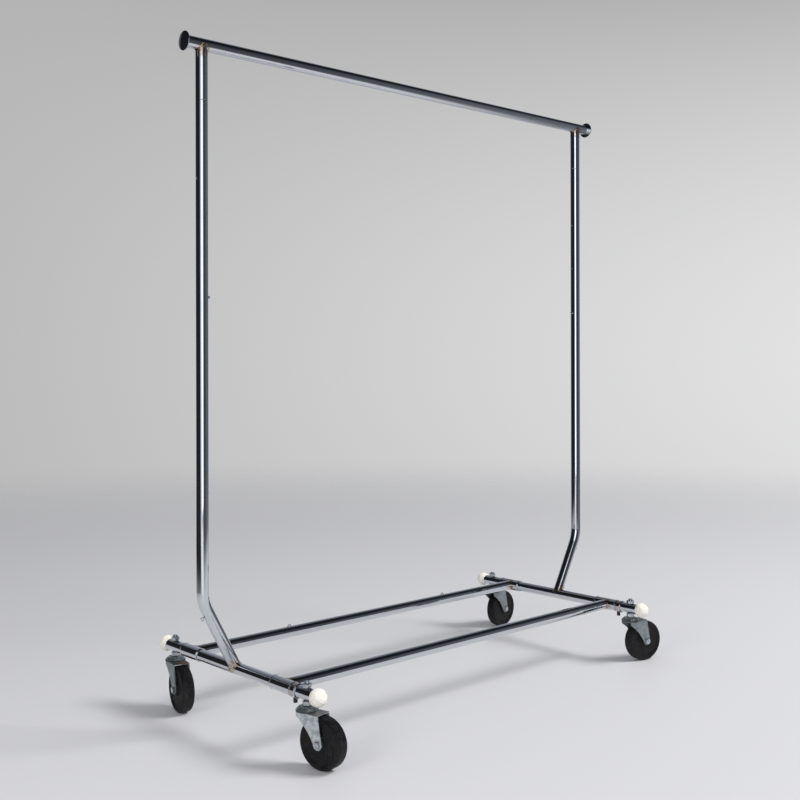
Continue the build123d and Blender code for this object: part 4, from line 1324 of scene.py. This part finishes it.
# %% Axle bolts
HEAD_ACROSS, HEAD, NUT, BOLT_OUT, BOLT_LEAD = 13 * MM, 4.5 * MM, 5 * MM, MM, 0.6 * MM
LEG_OUT_Y = FORK_OUT_Y + FIT
end_y = LEG_OUT_Y + NUT + BOLT_OUT
bolt = turn_on_lathe("bolt", [
    (0, -LEG_OUT_Y - HEAD / 2), (AXLE_R, -LEG_OUT_Y - HEAD / 2),
    (AXLE_R, end_y - BOLT_LEAD), (AXLE_R - BOLT_LEAD, end_y), (0, end_y),
], ORIGIN, Y, sides=64)
for name, y, height in (
    ("head", -LEG_OUT_Y - HEAD / 2, HEAD), ("bolt_nut", LEG_OUT_Y + NUT / 2, NUT)
):
    cut(bolt, hexagon_block(name, (0, y, 0), Y, HEAD_ACROSS, height), "UNION")
ease(bolt, 0, angle=30)


def wheel_spot(name):
    """The middle of a wheel, behind its caster's stem."""
    return caster_spot(name) @ Matrix.Translation((TRAIL, 0, WHEEL_R))


fit_four(bolt, "axle_bolt", "axle", wheel_spot)

# %% [markdown]
# A wheel is one moulding: a hub, a thin web, a rim and a tread with round shoulders.
# The mould leaves fine ridges round the rim and a parting line round the tread. Half
# of its section is drawn from hub to tread, as radius and distance from the middle in
# millimetres, and the other half is the same one mirrored.

# %% Wheels
SHOULDER_R, SHOULDER_Y = 6 * MM, 8 * MM
hub = [(4.08, 0), (4.08, 15.3), (4.5, 15.7), (12.3, 15.7), (13.0, 15.0), (13.8, 12.2)]
web = [(14.8, 11.5), (37.4, 11.5), (38.9, 11.9), (40.2, 12.9), (41.0, 13.4)]
ridges = [(41.3, 13.85), (41.9, 13.95), (42.4, 13.6), (43.6, 13.75)]
half = [(r * MM, y * MM) for r, y in hub + web + ridges]
half += arc((WHEEL_R - SHOULDER_R, SHOULDER_Y), SHOULDER_R, 86, 0, 14)
half += [(WHEEL_R, 0.5 * MM), (WHEEL_R - 0.2 * MM, 0.2 * MM)]
profile = half + [(r, -y) for r, y in reversed(half) if y]
wheel = turn_on_lathe("wheel", profile, ORIGIN, Y, sides=128)
ease(wheel, 0, angle=24)
fit_four(wheel, "moulded_wheel", "wheel", wheel_spot)

# %% [markdown]
# ## The studio
# Chrome shows the room, so the room matters more than the lamps. `ROOM` lists how
# bright the walls are all the way round, in degrees from the X axis: a grey backdrop
# behind the rack, a dark wall on the left, one bright strip behind the camera, and
# dark greys on the right.

# %% Walls
ROOM = [
    (0, 0.09), (12, 0.12), (20, 0.50), (78, 0.50), (88, 0.17), (100, 0.12), (107, 0.02),
    (202, 0.02), (212, 0.85), (234, 0.85), (246, 0.08), (262, 0.10), (270, 0.05),
    (285, 0.08), (306, 0.08), (320, 0.17), (345, 0.18), (352, 0.09), (360, 0.09),
]


def round_the_room(bench, x, y):
    """How bright the wall is in the direction of x and y."""
    turn = y.sum("ARCTAN2", y, x) * (1 / (2 * pi))
    turn = turn.sum("FRACT", turn, 0.0)
    stops = [(degrees / 360, level) for degrees, level in ROOM]
    return bench.node("ValToRGB", {"stops": stops}, {0: turn})


def split(bench, vector):
    """The three parts of a vector."""
    sockets = bench.node("SeparateXYZ", None, {0: vector}).socket.node.outputs
    return [Wire(bench, socket) for socket in sockets]


def kind_of_ray(bench, word):
    """1 for rays of this kind, 0 for others."""
    return Wire(bench, bench.node("LightPath").socket.node.outputs[word])


print("walls listed at", len(ROOM), "angles")

# %% [markdown]
# The floor is a pale disc that fades out, so that no horizon shows. In the chrome it
# gets as dark as the walls where it is far away. Both fades go by distance in metres
# from the middle of the rack.

# %% Floor
PALE_PAINT = (0.62, 0.62, 0.635, 1)
FLOOR_REACH, FLOOR_FADES, FLOOR_DARKENS = 14.0, (1.5, 6.0), (1.2, 2.6)


def make_floor_paint():
    """Pale paint that darkens in reflections and fades out to nothing."""
    material, bench = start_finish("pale_floor", {"Roughness": 0.55})
    x, y, _ = split(bench, bench.place)
    away = bench.node("VectorMath", {"operation": "LENGTH"}, {0: bench.place}, out=1)
    far = kind_of_ray(bench, "Is Glossy Ray") * bench.step(away, *FLOOR_DARKENS)
    paint = bench.blend(far, PALE_PAINT, round_the_room(bench, x, y))
    feed(bench, "Base Color", paint)
    gone = bench.step(away, *FLOOR_FADES)
    clear = bench.node("BsdfTransparent")
    blend = bench.node("MixShader", None, {0: gone, 1: bench.skin, 2: clear})
    end = next(n for n in bench.tree.nodes if n.type == "OUTPUT_MATERIAL")
    bench.tree.links.new(blend.socket, end.inputs["Surface"])
    return material


bpy.ops.object.select_all(action="DESELECT")
bpy.ops.mesh.primitive_circle_add(vertices=SIDES, radius=FLOOR_REACH, fill_type="NGON")
floor = name_new("floor")
floor.data.materials.append(make_floor_paint())

# %% [markdown]
# The camera stands about 0.8 m high and is held level, so that the uprights stay
# upright. A small shift of the lens lowers the view instead of a tilt.

# %% Camera
CAMERA_PLACE = (-1.82956, -1.92147, 0.78794)
LENS, SENSOR, LENS_SHIFT = 49.208, 36, -0.05315
TURN_RIGHT, LEVEL, ROLL = radians(-42.6654), radians(90), radians(-0.1193)
camera_data = bpy.data.cameras.new("camera")
camera_data.lens, camera_data.sensor_width = LENS, SENSOR
camera_data.shift_y = LENS_SHIFT
camera = bpy.data.objects.new("camera", camera_data)
stand = Matrix.Translation(CAMERA_PLACE)
for angle, axis in ((TURN_RIGHT, "Z"), (LEVEL, "X"), (ROLL, "Z")):
    stand = stand @ Matrix.Rotation(angle, 4, axis)
camera.matrix_world = stand
bpy.context.scene.collection.objects.link(camera)
bpy.context.scene.camera = camera
print("camera", round(Vector(CAMERA_PLACE).length, 2), "m from the rack's foot")

# %% [markdown]
# The walls are painted into the world. Mirror-like rays see them, faintly blue, under a
# ceiling that is dark over the camera and pale over the back right of the room. The
# camera sees a pale backdrop, a little brighter on the right and darker towards the
# top, and dull surfaces see an even grey light.

# %% The world
RED, GREEN, BLUE = 0.92, 0.97, 1.13
CEILING_DARK, CEILING_PALE = (0.009, 0.010, 0.012, 1), (0.18, 0.19, 0.21, 1)
CEILING_FROM = (0.12, 0.74)
DULL_LIGHT = (0.44, 0.44, 0.455, 1)
TO_THE_RIGHT = (0.735, -0.678)
BACKDROP, BRIGHTER_RIGHT, DARKER_UP, DARKER_UP_RIGHT = 0.63, 0.36, 1.95, 3.9
world = bpy.context.scene.world or bpy.data.worlds.new("room")
bpy.context.scene.world = world
world.use_nodes = True
bench = Bench(world.node_tree)
x, y, z = split(bench, bench.node("TexCoord", out=0))
grey = round_the_room(bench, x, y)
tint = {0: grey * RED, 1: grey * GREEN, 2: grey * BLUE}
walls = bench.node("CombineColor", None, tint)
lit = bench.step(y, 0.0, 0.45) * bench.step(x, -0.25, 0.05)
ceiling = bench.blend(lit, CEILING_DARK, CEILING_PALE)
room = bench.blend(bench.step(z, *CEILING_FROM), walls, ceiling)
across = x * TO_THE_RIGHT[0] + y * TO_THE_RIGHT[1]
darker = z * z * (DARKER_UP + across * DARKER_UP_RIGHT)
backdrop = BACKDROP + across * BRIGHTER_RIGHT - darker
tint = {0: backdrop, 1: backdrop, 2: backdrop * 1.01}
tinted = bench.node("CombineColor", None, tint)
colour = bench.blend(kind_of_ray(bench, "Is Glossy Ray"), DULL_LIGHT, room)
colour = bench.blend(kind_of_ray(bench, "Is Camera Ray"), colour, tinted)
background = bench.node("Background", None, {"Color": colour, "Strength": 1.0})
bench.node("OutputWorld", None, {"Surface": background})
print("world painted with", len(world.node_tree.nodes), "nodes")

# %% [markdown]
# Three lamps: a tall softbox near the camera, which draws the long bright streak down
# each upright, a broad key light high on the right, which casts the soft shadows, and
# a weak fill on the left for the forks. Key and fill aren't seen in the chrome, as
# flagged lamps aren't in a real studio. Sizes are in metres and powers in watts.

# %% Lamps
def area_lamp(name, place, target, width, height, power, mirrored=True):
    """A rectangular lamp that faces its target and that the camera can't see."""
    lamp = bpy.data.lights.new(name, "AREA")
    lamp.shape, lamp.size, lamp.size_y, lamp.energy = "RECTANGLE", width, height, power
    holder = bpy.data.objects.new(name, lamp)
    way = Vector(target) - Vector(place)
    turn = way.to_track_quat("-Z", "Y").to_matrix().to_4x4()
    holder.matrix_world = Matrix.Translation(place) @ turn
    holder.visible_camera = False
    holder.visible_glossy = mirrored
    bpy.context.scene.collection.objects.link(holder)


area_lamp("softbox", (-1.85, -2.6, 1.2), (0, 0, 0.8), 1.6, 2.3, 14.0)
area_lamp("key", (3.2, -3.6, 5.0), (0, 0, 0.3), 2.4, 2.4, 410.0, mirrored=False)
area_lamp("fill", (-3.4, -0.9, 1.6), (-0.5, 0, 0.1), 1.2, 1.2, 30.0, mirrored=False)
print("lamps:", ", ".join(lamp.name for lamp in bpy.data.lights))

# %% Set the view transform
bpy.context.scene.view_settings.view_transform = "Standard"
